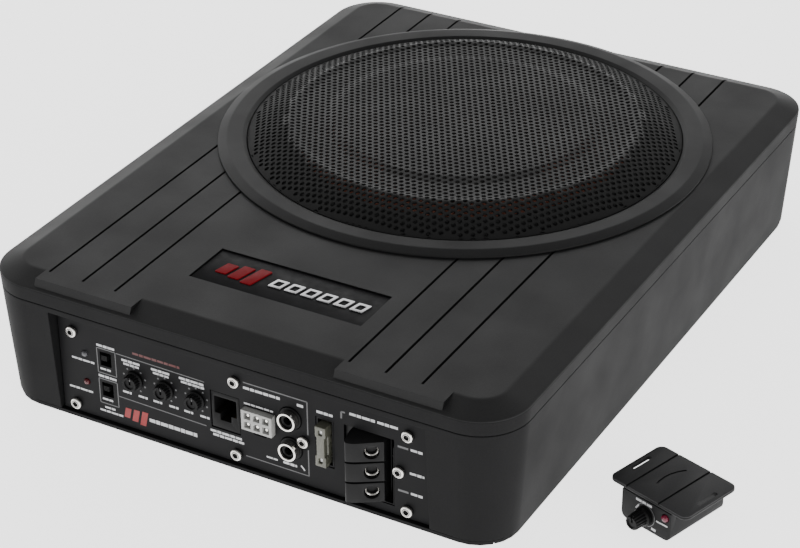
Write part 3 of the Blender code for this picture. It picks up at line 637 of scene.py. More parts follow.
def perforated(inside, outside):
    """Sheet of hexagonal cells with round holes, pressed to the grille's section,
    for the cells whose centres lie between two radii."""
    bm = bmesh.new()
    row_step = HOLE_PITCH * sqrt(3) / 2
    corner_r = HOLE_PITCH / sqrt(3)
    rows = int(GRILLE_R / row_step) + 2
    sides = 12
    ways = [2 * pi / sides * (i + 1) for i in range(sides)]
    reaches = (corner_r, HOLE_PITCH / 2) * (sides // 2)
    for row in range(-rows, rows + 1):
        for column in range(-rows - 2, rows + 3):
            cx = HOLE_PITCH * (column + 0.5 * (row % 2))
            cy = row_step * row
            distance = hypot(cx, cy)
            if not inside <= distance < outside or distance > GRILLE_R + 0.6:
                continue
            outer = [(cx + reach * cos(a), cy + reach * sin(a)) for reach, a in zip(reaches, ways)]
            hole = [(cx + HOLE_R * cos(a), cy + HOLE_R * sin(a)) for a in ways]
            for sheet, flip in ((0.0, False), (GRILLE_SHEET, True)):
                rim = [bm.verts.new(grille_point(x, y, sheet)) for x, y in outer]
                if distance >= GRILLE_R - GRILLE_BORDER:    # the border is left whole
                    bm.faces.new(rim[::-1] if flip else rim)
                    continue
                lip = [bm.verts.new(grille_point(x, y, sheet)) for x, y in hole]
                if flip:
                    band(bm, lip, rim, sides)
                    band(bm, upper, lip, sides)
                else:
                    band(bm, rim, lip, sides)
                upper = lip
    bmesh.ops.remove_doubles(bm, verts=bm.verts, dist=0.02)
    bmesh.ops.delete(bm, geom=[f for f in bm.faces if f.calc_area() < 1e-4], context="FACES")
    return bm


def make_grille():
    # the middle takes the lighter coat, a painted sheen; the skirt and flange keep the plain coat
    for name, reach, look, node in (("centre", (0.0, GRILLE_SPLIT), GRILLE_PAINTED_SHEEN, ["grille"]),
                                    ("skirt", (GRILLE_SPLIT, 2 * GRILLE_R), GRILLE, ())):
        on_speaker("grille_" + name, perforated(*reach), look, node, sharp=50.0)
    flange = rounded([(91.5, 61.6), (92.1, 61.6), (92.1, 59.7), (98.6, 59.7), (98.6, 58.7),
                      (91.2, 58.7)], 0.2, 2, closed=True)
    on_speaker("grille_flange", turned(flange, 160, True), GRILLE)


def make_cone():
    top = rounded([(72.8, 58.3), (69.0, 58.3), (45.0, 48.6), (20.6, 41.6)], [0, 1.2, 40, 0], 8)
    under = rounded([(20.6, 40.4), (45.4, 47.5), (69.6, 57.1), (72.8, 57.3)], [0, 40, 1.0, 0], 8)
    on_speaker("cone_body", turned(top + under, 120, True), CONE, ["woofer_cone"],
               "cone_assembly")
    wide, rise, foot, paper = 33.6, 6.7, 46.9, 0.8
    dome = [(wide * sin(radians(a)), foot + rise * cos(radians(a))) for a in range(0, 91, 6)]
    under = [(r * 0.985, z - paper) for r, z in dome[::-1]]
    shell = [(0, dome[0][1])] + dome[1:] + under[:-1] + [(0, dome[0][1] - paper)]
    on_speaker("dust_cap_dome", turned(shell, 96), CAP, ["woofer_dust_cap"],
               "cone_assembly")


SECTORS = 16


def sectors(name, section, look, stands_for):
    """A soft ring between basket and cone, made in equal sectors."""
    for index in range(SECTORS):
        start, half = 2 * pi * index / SECTORS, pi / SECTORS
        part = as_object("%s_%02d" % (name, index + 1),
                         turned(section, 6, True, start, 1.0 / SECTORS), shift(*SPEAKER))
        smoothed(part, look, 50.0)
        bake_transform(part)
        if index == 0:
            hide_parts(stands_for)


def make_suspension():
    base, sheet, roll, lip_out, lip_in = 58.6, 0.9, 78.2, 87.6, 70.2
    arc = [pi * step / 12 for step in range(13)]
    over = [(roll + 5.7 * cos(a), base + 3.4 * sin(a)) for a in arc[1:-1]]
    under = [(roll + 4.8 * cos(a), base + 2.6 * sin(a)) for a in arc[::-1]]
    section = ([(lip_out, base), (lip_out, base + sheet)] + over
               + [(lip_in, base + sheet), (lip_in, base)] + under)
    sectors("surround", section, RUBBER, "woofer_surround")
    low, thick, high, steps, outer, inner = 37.3, 0.5, 0.5, 40, 60.5, 20.6
    wave = [(outer + (inner - outer) * (step / steps), low + high - high * cos(pi * step / 4))
            for step in range(steps + 1)]
    section = [(r, z + thick) for r, z in wave] + wave[::-1]
    sectors("spider", section, CLOTH, "woofer_spider")


# ---- control panel ----
THROUGH = (PANEL_FACE - 5, PANEL_BACK + 5)
SCREW_COUNT = 8
KNOBS = ("low_pass", "gain", "bass_boost")
SWITCHES = ("phase", "auto_on")
LAMPS = ("power_led", "protect_led")
SLEEVES = ("rca_sleeve_upper", "rca_sleeve_lower")
LED_R, RCA_COLLAR_R = 1.3, 4.7
SOCKET_LOW, SOCKET_HIGH = limits("remote_socket")
PLUG_LOW, PLUG_HIGH = limits("speaker_input_socket")
PLUG_AT = Vector((9.4, PLUG_LOW.y, 24.8))
PLUG_HALF = (6.7, 4.4)
PLUG_PROUD, LATCH_END, BLADE_END = 2.4, -136.0, -129.0
CLAMP_TOP = 3.3    # rim of a clamp screw over the floor of its well
FUSE_LOW, FUSE_HIGH = limits("fuse")
TERM_LOW, TERM_HIGH = limits("power_terminal_block")
TERM_BAYS, TERM_LEFT, TERM_RIGHT = 3, 49.8, 67.0
TERM_FACE_TOP, TERM_FACE_END = 32.7, 62.6    # the turned face reaches the panel at its end
TERM_WELL, TERM_ALONG = 4.4, 10.4    # depth of the wells, and their place along the face
TERM_FACE = (shift(TERM_LEFT, TERM_LOW.y, 0.0)
             @ spin(radians(30.0), "Z"))    # X along the face, Y into it


def hole_for(node, radius):
    at = middle(node)
    return rod((at.x, at.z), radius, *THROUGH)


def make_panel():
    shy, rim = 0.35, 0.3    # gaps round the plate and the parts read as dark lines
    plate = as_object("panel_plate", box(PANEL_LOW.x + shy, PANEL_HIGH.x - shy, PANEL_FACE,
                                         PANEL_BACK, PANEL_LOW.z, PANEL_HIGH.z - shy))
    holes = [hole_for("panel_screw_%d" % (n + 1), 1.6) for n in range(SCREW_COUNT)]
    holes += [hole_for(node, LED_R + 0.2) for node in LAMPS]
    holes += [hole_for(name + "_knob", 2.1) for name in KNOBS]
    holes += [hole_for(node, RCA_COLLAR_R + rim) for node in SLEEVES]
    holes += [box_at(middle(name + "_switch_body"), 2.6, 3.1, *THROUGH) for name in SWITCHES]
    holes += [plate_box(*limits(node), *THROUGH, rim) for node in ("remote_socket", "fuse_socket")]
    holes.append(box(TERM_LOW.x - rim, TERM_RIGHT + rim, *THROUGH, TERM_LOW.z - rim,
                     TERM_HIGH.z + rim))
    plug = box_at(PLUG_AT, PLUG_HALF[0] + rim, PLUG_HALF[1] + rim, *THROUGH)
    latch = box(PLUG_AT.x - 2.6, PLUG_AT.x + 2.6, *THROUGH, PLUG_LOW.z - 0.5, PLUG_AT.z)
    carve(plate, [joined(*holes), plug, latch])
    eased(plate, 0.2, 2)
    finish_piece(plate, PANEL, ["control_panel"], flat_faces=True)


# The print is plain bars, boxes, ticks and broken lines where a real panel is lettered.
INK = 0.05
PRINT = (PANEL_FACE - INK, PANEL_FACE + 0.02)
WORDS, WORD_GAP = (2.7, 1.8, 3.3, 2.2), 0.36    # widths of the blocks in a caption
DIAL_R = 5.1


def stroke(x0, z0, x1, z1, width):
    """Printed line from one point of the panel to another."""
    run = Vector((x1 - x0, z1 - z0))
    side = Vector((-run.y, run.x)).normalized() * width / 2
    outline = [(x0 + side.x, z0 + side.y), (x1 + side.x, z1 + side.y),
               (x1 - side.x, z1 - side.y), (x0 - side.x, z0 - side.y)]
    return prism(outline, "Y", *PRINT)


def caption(x0, x1, z, height):
    """Row of plain blocks that stands in for a caption."""
    blocks = []
    while x0 < x1 - 0.4:
        count = len(blocks)
        end = min(x0 + WORDS[count % 4], x1)
        blocks.append(stroke(x0, z, end, z, height * (0.9 + 0.1 * (count % 2))))
        x0 = end + WORD_GAP
    return blocks


def captions(rows, node=None):
    """Captions at (left, right, height of the row, size), from the middle of a part."""
    at = middle(node) if node else Vector()
    return [block for left, right, rise, size in rows
            for block in caption(at.x + left, at.x + right, at.z + rise, size)]


def dial(at):
    """Nine dots round a knob, with a gap at the bottom."""
    angles = [radians(-60 + 300 * index / 8) for index in range(9)]
    return [rod((at.x + DIAL_R * cos(a), at.z + DIAL_R * sin(a)), 0.42, *PRINT, sides=12)
            for a in angles]


KNOB_TITLES = ((-5.6, 2.8), (-6.1, 2.3), (-7.5, 4.2))    # span of the captions over each knob


def make_print():
    white, grey = [], []
    for name in SWITCHES:
        at = middle(name + "_switch_body")
        x0, x1, z0, z1 = at.x - 3.9, at.x + 4.7, at.z - 6.6, at.z + 4.6    # box round the switch
        grey += [stroke(*line, 0.4) for line in ((x0, z1, x1, z1), (x0, z0, x1, z0),
                                                 (x0, z0, x0, z1), (x1, z0, x1, z1))]
        white += captions(((-3.9, 4.5, 5.9, 1.1), (-2.8, 2.8, -4.6, 0.9)), name + "_switch_body")
    white += captions(((-2.0, 3.4, -8.4, 0.9), (-4.4, 6.4, -10.2, 0.9)), "auto_on_switch_body")
    white += captions(((-6.4, 4.2, -3.4, 0.9),), "power_led")
    white += captions(((-8.7, 2.8, -4.4, 0.9),), "protect_led")
    for (left, z0), (right, z1) in (((-55.2, 34.9), (-14.8, 34.5)), ((-55.2, 15.2), (-14.8, 14.6))):
        grey.append(stroke(left, z0, right, z1, 0.4))
    for name, (start, end) in zip(KNOBS, KNOB_TITLES):
        white += captions(((start, end, 7.6, 1.1), (start + 0.8, end - 0.4, 6.1, 1.0),
                           (-5.9, -1.9, -6.9, 1.0), (1.4, 5.6, -6.9, 1.0)), name + "_knob")
        grey += dial(middle(name + "_knob"))
    white += caption(SOCKET_LOW.x - 0.8, SOCKET_HIGH.x + 1.2, SOCKET_LOW.z - 1.9, 1.1)
    white += caption(SOCKET_LOW.x + 0.3, SOCKET_HIGH.x + 1.6, SOCKET_LOW.z - 3.5, 1.1)
    # line round the input sockets, broken at the screw
    left, right, top, bottom = 2.7, 30.6, 40.0, 6.7
    screw = middle("panel_screw_5")
    grey += [stroke(left, top, right, top, 0.5), stroke(left, bottom, right, bottom, 0.4),
             stroke(right, top, right, screw.z + 3.4, 0.5),
             stroke(right, screw.z - 3.4, right, bottom, 0.5)]
    white += captions(((left, 18.8, top - 2.3, 1.2), (26.2, 29.2, top - 2.6, 1.3)))
    white += caption(PLUG_AT.x - 6.6, PLUG_AT.x + 6.2, PLUG_AT.z + PLUG_HALF[1] + 1.6, 0.8)
    white += captions(((12.0, 17.0, 9.4, 0.8), (19.4, 25.4, 9.4, 1.1)))
    white.append(stroke(27.2, 10.4, 28.8, 8.6, 0.6))
    white += caption(FUSE_LOW.x - 0.6, FUSE_HIGH.x + 0.9, FUSE_HIGH.z + 3.4, 1.2)
    # bracket and captions of the power terminals
    grey += [stroke(45.2, 40.5, 46.8, 40.6, 0.7), stroke(45.2, 40.5, 45.2, 37.6, 0.7)]
    grey += [stroke(68.8, z, 73.2, z, 0.9) for z in (33.2, 13.8)]
    white += captions(((48.7, 59.4, 40.8, 1.2), (60.4, 69.2, 40.8, 1.2), (74.2, 79.8, 33.2, 1.1),
                       (74.2, 79.8, 13.8, 1.1), (73.8, 79.8, 22.8, 1.1)))
    bars = [prism(leaning(-53.4 + 3.7 * index, 8.6 - 0.2 * index, 2.7, 4.5 + index), "Y", *PRINT)
            for index in range(3)]
    for name, shapes, look in (
            ("print_white", white, INK_WHITE), ("print_grey", grey, INK_GREY),
            ("print_red", caption(-47.4, -25.8, 37.4, 1.1), INK_RED), ("mark_red", bars, MARK_RED),
            ("print_silver", caption(-41.4, -19.4, 8.6, 1.7), INK_WHITE)):
        piece("panel_" + name, joined(*shapes), look)


def cross_recess(radius, width, top, depth):
    """Four-armed driver recess sunk from a height, as two tapered bars."""
    bars = []
    for turn in (0.0, pi / 2):
        rings = []
        for z, share in ((top + 0.6, 1.0), (top - depth, 0.45)):
            half, thick = radius * share, width / 2 * (0.6 + 0.4 * share)
            ring = ((-half, -thick), (half, -thick), (half, thick), (-half, thick))
            rings.append([(x, y, z) for x, y in ring])
        bars.append(moved(from_rings(rings), spin(turn, "Z")))
    return bars


def paint_recess_shade(made, radius, rim):
    """Give the faces inside a recess a dark look, painted shade; the piece stands about Z."""
    made.data.materials.append(RECESS_PAINTED_SHADE)
    for face in made.data.polygons:
        at = face.center / MM
        if hypot(at.x, at.y) < radius and rim - 2.0 < at.z < rim - 0.12 and face.normal.z > -0.5:
            face.material_index = 1


def make_screws():
    radius, rim, top, shank = 2.35, 1.3, 1.9, 5.2
    arc = [pi / 16 * step for step in range(8)]
    crown = [(radius * cos(a), rim + (top - rim) * sin(a)) for a in arc]
    profile = ([(0, -shank), (1.25, -shank), (1.25, 0.3), (radius - 0.15, 0.3), (radius, 0.45)]
               + crown + [(0, top)])
    master = as_object("screw_master", turned(profile, 48))
    carve(master, cross_recess(1.5, 0.85, top, 1.1)
          + [rod((0.0, 0.0), 1.15, top - 0.95, top + 1, "Z", 24)])
    for number in range(1, SCREW_COUNT + 1):
        name = "panel_screw_%d" % number
        head = new_object("screw_pan_head_%d" % number, master.data.copy())
        finish_piece(head, SCREW, [name], sharp=30.0)
        # painted shade inside the cross recess
        paint_recess_shade(head, 1.55, top)
        head.data.transform(metres(on_panel(name)) @ spin(radians(37.0 * number), "Z"))
    bpy.data.objects.remove(master, do_unlink=True)


def lens(radius, base, foot):
    """Domed lens on its stem, pointing up."""
    dome = [(radius * cos(radians(a)), base + 1.1 * sin(radians(a))) for a in range(0, 90, 10)]
    return turned([(0, foot), (radius, foot)] + dome + [(0, base + 1.1)], 32)


def make_lamps():
    for node, look, slot in zip(LAMPS, (LAMP_CLEAR, LAMP_DULL), ("led_clear", "led_red")):
        piece(node + "_lens", lens(LED_R, 0.1, -6.0), look, [node], matrix=on_panel(node))


def make_switch_sliders():
    half, teeth = 1.15, 4
    for name in SWITCHES:
        low, high = limits(name + "_switch_slider")
        at = (low + high) / 2
        front, back = low.y, high.y - 2.0
        side = [(back, at.z + half)]
        for tooth in range(teeth):
            z = at.z + half - 2 * half * tooth / teeth
            side += [(front + 0.3, z), (front, z - 0.12), (front, z - 2 * half / teeth + 0.12)]
        side += [(front + 0.3, at.z - half), (back, at.z - half)]
        nub = prism(side, "X", at.x - 1.3, at.x + 1.3)
        base = soft_prism(oblong(low.x, high.x, low.z, high.z), "Y", back - 0.5, high.y, 0.15, 0.3)
        piece(name + "_slider_cap", joined(nub, base), BLACK,
              [name + "_switch_slider"], name + "_slider")


def fluted(section, flutes, depth, steps=8):
    """Solid turned from (radius, height, grip) points, ribbed where grip is 1."""
    count = flutes * steps
    ways = [(2 * pi * i / count, (0.5 - 0.5 * cos(2 * pi * i / steps)) ** 2) for i in range(count)]
    return from_rings([[((radius - grip * depth * wave) * cos(angle),
                         (radius - grip * depth * wave) * sin(angle), height)
                        for angle, wave in ways] for radius, height, grip in section])


def make_knobs():
    for name in KNOBS:
        node = name + "_knob"
        low, high = limits(node)
        at = (low + high) / 2
        top = PANEL_FACE - low.y
        skirt_r = (high.x - low.x) / 2
        section = [(skirt_r - 0.1, 0.3, 0), (skirt_r, 0.4, 0), (skirt_r, 0.95, 0),
                   (skirt_r - 0.15, 1.15, 0), (3.45, 1.3, 0), (3.4, 1.5, 1), (3.25, top - 0.5, 1),
                   (3.1, top - 0.15, 0.6), (2.9, top, 0), (2.25, top, 0), (2.15, top - 0.1, 0),
                   (2.05, top - 0.55, 0), (0.1, top - 0.6, 0)]
        shape = as_object(name + "_knob_cap", fluted(section, flutes=18, depth=0.28))
        carve(shape, [rod((0.0, 0.0), 1.6, -1.0, top - 1.6, "Z"),
                      box(-0.42, 0.42, -0.5, 3.0, top - 1.3, top + 1)])
        shape.data.transform(metres(on_panel(node)))
        finish_piece(shape, KNOB, [node], node, 30.0)
        slot = low.y + 0.72    # the painted bar lies in the slot
        bar = box(at.x - 0.25, at.x + 0.25, slot - 0.06, slot + 0.3, at.z + 1.0, at.z + 2.6)
        piece(name + "_knob_pointer", bar, INK_GREY, body=node)


def make_remote_socket():
    mid = (SOCKET_LOW.x + SOCKET_HIGH.x) / 2
    front, back = SOCKET_LOW.y, SOCKET_HIGH.y
    shell = as_object("modular_socket_shell", plate_box(SOCKET_LOW, SOCKET_HIGH, front, back))
    carve(shell, [box(mid - 4.9, mid + 4.9, front - 2, back - 3.5, 22.2, 29.6),
                  box(mid - 2.4, mid + 2.4, front - 2, back - 3.5, 19.4, 23.0)])
    eased(shell, 0.3, 2)
    finish_piece(shell, BLACK, ["remote_socket"])
    lean = shift(0, front + 1.6, 29.0) @ spin(radians(-28), "X")
    wires = [moved(rod((mid - 2.55 + 1.02 * index, 0.0), 0.18, 0.0, 8.6, "Y", 8), lean)
             for index in range(6)]
    piece("modular_socket_contacts", joined(*wires), GOLD)


def make_speaker_socket():
    front = PANEL_FACE - PLUG_PROUD
    foot = PLUG_AT.z - PLUG_HALF[1]
    housing = as_object("speaker_socket_housing", box_at(PLUG_AT, *PLUG_HALF, front, PLUG_HIGH.y))
    pockets, pins = [], []
    for column in (-1, 0, 1):
        for row in (-1, 1):
            x, z = PLUG_AT.x + 4.05 * column, PLUG_AT.z + 2.0 * row
            x0, x1, z0, z1 = x - 1.45, x + 1.45, z - 1.35, z + 1.35
            pocket = oblong(x0, x1, z0, z1)
            if (column + row) % 2:    # every other pocket is keyed
                pocket[2:] = [(x1, z1 - 0.9), (x1 - 0.9, z1), (x0 + 0.9, z1), (x0, z1 - 0.9)]
            pockets.append(prism(pocket, "Y", front - 1, front + 4.0))
            pins.append(rod((x, z), 0.55, front + 0.9, front + 4.1, "Y", 16))
    latch = box(PLUG_AT.x - 2.2, PLUG_AT.x + 2.2, PANEL_FACE + 0.5, LATCH_END, PLUG_LOW.z,
                foot + 1.0)
    nub = box(PLUG_AT.x - 4.4, PLUG_AT.x - 3.2, front + 0.4, PANEL_FACE + 1, foot - 0.2, foot + 1)
    carve(housing, [joined(*pockets)], [latch, nub])
    eased(housing, 0.28, 3)
    finish_piece(housing, NYLON, ["speaker_input_socket"])
    piece("speaker_socket_pins", joined(*pins), NICKEL)


def make_rca():
    low, high = limits("rca_block")
    back = PANEL_BACK + 0.3
    block = as_object("rca_moulding", plate_box(low, high, back, high.y))
    collar = rounded([(0.0, -3.0), (RCA_COLLAR_R, -3.0), (RCA_COLLAR_R, 0.55), (2.72, 0.55),
                      (2.72, 2.4), (1.65, 2.4), (1.65, -1.6), (0.0, -1.6)],
                     [0, 0, 0.3, 0, 0.2, 0.2, 0, 0], 3)
    sleeve = rounded([(3.85, 0.8), (3.85, 3.7), (3.0, 3.7), (3.0, 0.8)], [0, 0.3, 0.3, 0], 4, True)
    for node in SLEEVES:
        carve(block, adds=[moved(turned(collar, 64), on_panel(node))])
        piece(node + "_tube", turned(sleeve, 96, True), NICKEL, [node],
              matrix=on_panel(node))
    screw = middle("panel_screw_5")
    carve(block, [rod((screw.x, screw.z), 1.6, back - 1, back + 5)])
    eased(block, 0.12, 1)
    finish_piece(block, BLACK, ["rca_block"])


def make_fuse():
    low, high = FUSE_LOW, FUSE_HIGH - Vector((0.8, 0.0, 1.3))
    mid = (low + high) / 2
    front, back = low.y - 1.6, PANEL_BACK + 1.2
    body = as_object("fuse_body", plate_box(low, high, front, back))
    tests = [Vector((mid.x, 0.0, mid.z + side * 6.2)) for side in (-1, 1)]
    cuts = [box_at(at, 0.8, 1.1, front - 1, front + 1.2) for at in tests]
    cuts += [box(mid.x + x, mid.x + x + 1.8, front - 1, front + 2.2, mid.z - 4.2, mid.z + 4.2)
             for x in (-3.5, 1.7)]
    carve(body, [joined(*cuts)])
    eased(body, 0.3, 3)
    finish_piece(body, SMOKE, ["fuse"], "fuse")
    blades = [box(mid.x - 0.4, mid.x + 0.4, back + 0.05, BLADE_END, z - 2.6, z + 2.6)
              for z in (mid.z - 5.6, mid.z + 5.6)]
    piece("fuse_blades", joined(*blades), NICKEL, body="fuse")
    tabs = [box_at(at, 0.6, 0.8, front + 0.9, front + 1.2) for at in tests]
    piece("fuse_test_tabs", joined(*tabs), STEEL, body="fuse")


def make_terminal():
    low, high = TERM_LOW, TERM_HIGH
    deep, flush, sunk = PANEL_BACK + 12.0, PANEL_FACE + 0.3, PANEL_FACE + 1.0
    plan = rounded([(low.x, deep), (low.x, sunk), (TERM_LEFT, sunk), (TERM_LEFT, low.y - 0.1),
                    (TERM_LEFT + 3.5, low.y + 1.2), (TERM_FACE_END, flush), (TERM_RIGHT, flush),
                    (TERM_RIGHT, deep)], [0, 0, 0, 1.2, 9.0, 0, 0, 0], 8)
    block = as_object("terminal_moulding", prism(plan, "Z", low.z, high.z))
    rise = 0.52    # of the top's slope, along the turned face
    slope = [(-3.0, TERM_FACE_TOP - 3 * rise), (20.0, TERM_FACE_TOP + 20 * rise),
             (-3.0, high.z + 12)]
    cuts = [moved(prism(slope, "X", -12.0, 21.0), TERM_FACE)]
    pitch = (TERM_FACE_TOP - low.z) / TERM_BAYS
    for bay in range(TERM_BAYS):
        z = low.z + pitch * (bay + 0.5)
        cuts.append(moved(rod((TERM_ALONG, z), 2.95, -3.0, TERM_WELL, "Y", 48), TERM_FACE))
        cuts.append(box(TERM_FACE_END + 0.7, TERM_RIGHT - 0.4, flush - 1, flush + 10, z - 4.1,
                        z + 4.1))
    cuts.append(box(TERM_FACE_END + 0.3, TERM_RIGHT - 0.3, flush - 1, flush + 5, low.z + 0.6,
                    high.z + 1.0))
    half_groove = [(-3.0, 0.9), (0.2, 0.3), (0.9, 0.15)]
    for bay in (1, 2):
        z = low.z + pitch * bay
        groove = [(y, z - half) for y, half in half_groove]
        groove += [(y, z + half) for y, half in half_groove[::-1]]
        cuts.append(moved(prism(groove, "X", -4.0, 16.0), TERM_FACE))
    screw = middle("panel_screw_7")
    ear = box(TERM_RIGHT - 1, high.x, PANEL_BACK + 0.3, PANEL_BACK + 6, screw.z - 3.3,
              screw.z + 3.3)
    cuts.append(rod((screw.x, screw.z), 1.6, PANEL_FACE, PANEL_FACE + 9))
    carve(block, cuts, [ear])
    eased(block, 0.3, 3, 40.0)
    finish_piece(block, GLOSS, ["power_terminal_block"])
    profile = rounded([(0.0, 0.45), (2.6, 0.45), (2.6, CLAMP_TOP), (2.1, CLAMP_TOP - 0.5),
                       (2.0, 1.3), (0.0, 1.3)], [0, 0.1, 0.12, 0.1, 0, 0], 3)
    for number in range(1, TERM_BAYS + 1):
        node = "terminal_screw_%d" % number
        head = as_object("clamp_screw_%d" % number, turned(profile, 60))
        finish_piece(head, SCREW, [node], node, 30.0)
        # painted shade inside the socket of the clamp screw
        paint_recess_shade(head, 2.05, CLAMP_TOP - 0.4)
        head.data.transform(metres(TERM_FACE @ to_front(TERM_ALONG, TERM_WELL, middle(node).z)))


# ---- level remote ----
REMOTE_AXES = (shift(150.8, -104.8, 0.0)    # middle of its front, on the floor
               @ spin(radians(-17.5), "Z"))
REMOTE_HALF, REMOTE_DEEP, REMOTE_TALL = 11.8, 30.0, 12.6
REMOTE_KNOB = (-0.4, 6.2)
REMOTE_LAMP = (9.2, 9.8)
LAMP_R = 1.5
PLATE_HALF = (18.6, 14.6)
PLATE_SLOT = (15.9, 9.6, 20.2)    # distance from the middle, front and back end


def make_remote():
    half, deep, tall = REMOTE_HALF, REMOTE_DEEP, REMOTE_TALL
    outline = rounded(oblong(-half, half, 0.0, tall), [3.2, 3.2, 0.4, 0.4], 8, closed=True)
    housing = as_object("remote_case", prism(outline, "Y", 0.0, deep))
    carve(housing, [rod(REMOTE_KNOB, 2.1, -1, 6.0), rod(REMOTE_LAMP, LAMP_R + 0.15, -1, 3.0),
                    box(-4.9, 4.9, deep - 11, deep + 1, 3.0, 9.6),
                    box(-3.0, 3.0, deep - 11, deep + 1, 1.6, 4.0),
                    box(half - 0.4, half + 1, 3.0, deep - 4, 9.6, 9.9)])
    eased(housing, 0.35, 3)
    housing.data.transform(metres(REMOTE_AXES))
    # the case takes the darker copy of the remote plastic: painted shade
    finish_piece(housing, REMOTE_PAINTED_SHADE, ["remote_housing"], "remote")
    make_remote_bracket()
    make_remote_controls()


def make_remote_bracket():
    low, high = limits("remote_bracket")
    foot, top = low.z, high.z
    half_x, half_y = PLATE_HALF
    rings = []
    for inset, z in ((0.35, foot), (0.1, foot + 0.12), (0.0, foot + 0.35), (0.0, top - 0.35),
                     (0.1, top - 0.12), (0.35, top)):
        ring = rounded_ring(half_x - inset, half_y - inset, 3.0 - inset, z, 10)
        rings.append([(x, y + half_y, z) for x, y, z in ring])
    plate = as_object("remote_plate", from_rings(rings))
    cuts = []
    out, start, end = PLATE_SLOT
    for middle_x in (-out, out):
        slot = rounded(oblong(middle_x - 0.9, middle_x + 0.9, start, end), 0.9, 6, closed=True)
        cuts.append(prism(slot, "Z", foot - 1, top + 1))
    for crease in (-9.8, 5.7):
        notch = [(crease - 0.5, top + 0.05), (crease - 0.3, top - 0.6), (crease + 0.3, top - 0.6),
                 (crease + 0.5, top + 0.05)]
        cuts.append(prism(notch, "Y", -1.0, 2 * half_y + 1))
    outer, inner, floor = 16.7, 15.9, top - 0.5    # of the curved groove
    groove = turned([(outer, floor), (outer, top + 1), (inner, top + 1), (inner, floor)], 20, True,
                    radians(146), 0.144)
    cuts.append(moved(groove, shift(12.6, 14.0, 0.0)))
    carve(plate, cuts)
    plate.data.transform(metres(REMOTE_AXES))
    finish_piece(plate, REMOTE, ["remote_bracket"], "remote")
    # upright edges of the plate get the darker copy: painted shade
    paint_shade_on_walls(plate, REMOTE_PAINTED_SHADE)


def make_remote_controls():
    section = [(1.6, -5.5, 0), (1.6, 0.3, 0), (3.65, 0.3, 0), (3.7, 0.45, 0), (3.7, 1.9, 0),
               (3.35, 2.3, 0), (3.2, 2.5, 1), (3.0, 7.0, 1), (2.75, 7.45, 0.5), (2.5, 7.6, 0),
               (1.9, 7.6, 0), (1.8, 7.2, 0), (0.1, 7.15, 0)]
    knob = as_object("remote_knob_cap", fluted(section, flutes=16, depth=0.3))
    carve(knob, [box(-0.4, 0.4, 0.0, 4.0, 6.7, 9.0)])
    at_knob, at_lamp = (REMOTE_AXES @ to_front(x, 0.0, z) for x, z in (REMOTE_KNOB, REMOTE_LAMP))
    knob.data.transform(metres(at_knob))
    finish_piece(knob, KNOB, ["remote_knob"], "remote_knob", 30.0)
    piece("remote_lens", lens(LAMP_R, 0.2, -2.6), LAMP_RED, ["remote_led"], "remote",
          matrix=at_lamp)
    ring = turned([(4.75, -0.04), (4.75, INK), (4.4, INK), (4.4, -0.04)], 48, True, radians(-70),
                  0.6)
    piece("remote_print_grey", ring, INK_GREY, (), "remote", matrix=at_knob)
    marks = [stroke(-4.9, 7.2, -3.5, 9.3, 0.6), stroke(5.0, 6.3, 10.4, 6.5, 0.6),
             stroke(2.9, 1.9, 5.0, 1.8, 1.0)] + caption(-5.0, 2.6, 11.3, 1.1)
    piece("remote_print_white", joined(*marks), INK_WHITE, (), "remote",
          matrix=REMOTE_AXES @ shift(0.0, -PANEL_FACE, 0.0))


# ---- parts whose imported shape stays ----
def dress():
    """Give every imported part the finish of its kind; replaced ones are hidden already."""
    # the base plate takes the darker copy of the case plastic: painted shade
    looks = {"bottom_plate": WALL_PAINTED_SHADE, "lid_gasket": RUBBER, "woofer_basket": PAINTED,
             "woofer_yoke": STEEL, "woofer_magnet": FERRITE, "woofer_top_plate": STEEL,
             "voice_coil": COPPER, "fuse_socket": BLACK, "amplifier_board": BOARD,
             "power_transformer": COPPER, "filter_capacitor": SLEEVE, "heat_sink": ALUMINIUM}
    looks |= {name + "_switch_body": BLACK for name in SWITCHES}
    looks |= {name + "_pot": STEEL for name in KNOBS}
    looks |= {"bottom_screw_%d" % number: STEEL for number in range(1, 5)}
    for node, look in looks.items():
        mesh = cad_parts[node].data
        mesh.materials.clear()
        mesh.materials.append(look)


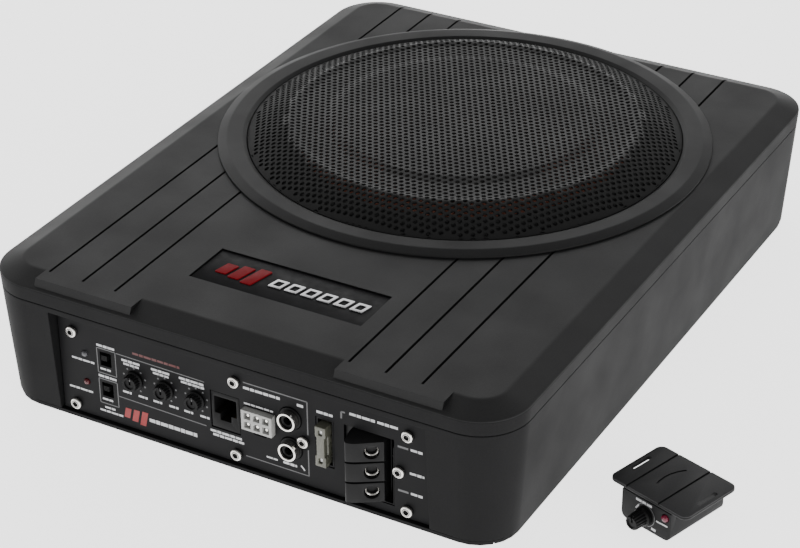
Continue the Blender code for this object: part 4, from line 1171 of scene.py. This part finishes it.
# ---- stage ----
def make_camera():
    place = shift(0.4191, -0.7640, 0.5292)
    azimuth, elevation, roll = 0.5218, 0.5349, -0.0116
    back = Vector((sin(azimuth) * cos(elevation), -cos(azimuth) * cos(elevation), sin(elevation)))
    right = Vector((cos(azimuth), sin(azimuth), 0.0))
    up = back.cross(right)
    side = right * cos(roll) + up * sin(roll)
    top = up * cos(roll) - right * sin(roll)
    data = bpy.data.cameras.new("camera")
    data.lens, data.sensor_width = 107.56, 36.0
    data.shift_x, data.shift_y = 0.0247, -0.0039
    data.clip_start = 0.01
    camera = new_object("camera", data)
    camera.matrix_world = place @ Matrix((side, top, back)).transposed().to_4x4()
    bpy.context.scene.camera = camera


AIM = Vector((0, 0, 0.03))


def area_light(name, place, size, power):
    """Rectangular lamp aimed at the middle of the enclosure."""
    data = bpy.data.lights.new(name, "AREA")
    data.shape = "RECTANGLE"
    data.size, data.size_y = size
    data.energy = power
    lamp = new_object(name, data)
    lamp.location = place
    way = AIM - Vector(place)
    lamp.rotation_euler = way.to_track_quat("-Z", "Y").to_euler()


def make_stage():
    bm = bmesh.new()
    bmesh.ops.create_grid(bm, x_segments=1, y_segments=1, size=6.0 / MM)
    floor = as_object("floor", bm)
    floor.location.z = -0.0002    # just under the parts that stand on it
    glow = {"Emission Color": (1.0, 1.0, 1.0, 1.0), "Emission Strength": 2.3}
    floor.data.materials.append(plain("floor_paper", (0.86, 0.86, 0.86), 0.9, **glow))
    world = bpy.data.worlds.new("studio")
    world.use_nodes = True
    bpy.context.scene.world = world
    tree = world.node_tree
    sky = tree.nodes["Background"]
    split = add_node(tree, "SeparateXYZ")
    tree.links.new(add_node(tree, "TexCoord").outputs["Generated"], split.inputs[0])
    shade = ramp(tree, split.outputs["Z"], ((0.0, 1.5), (0.15, 1.1), (0.35, 0.45), (1.0, 0.3)))
    tree.links.new(shade, sky.inputs["Color"])
    sky.inputs["Strength"].default_value = 1.0
    area_light("left_box", (-1.3, 0.5, 0.7), (1.2, 0.9), 4.0)
    area_light("rear_box", (-0.8, 1.8, 1.1), (2.0, 1.2), 10.0)
    area_light("right_box", (1.4, -0.6, 0.6), (0.9, 0.7), 6.0)


make_camera()
make_cover()
make_shell()
make_badge()
make_ring()
make_grille()
make_cone()
make_suspension()
make_panel()
make_print()
make_screws()
make_lamps()
make_switch_sliders()
make_knobs()
make_remote_socket()
make_speaker_socket()
make_rca()
make_fuse()
make_terminal()
make_remote()
dress()
make_stage()
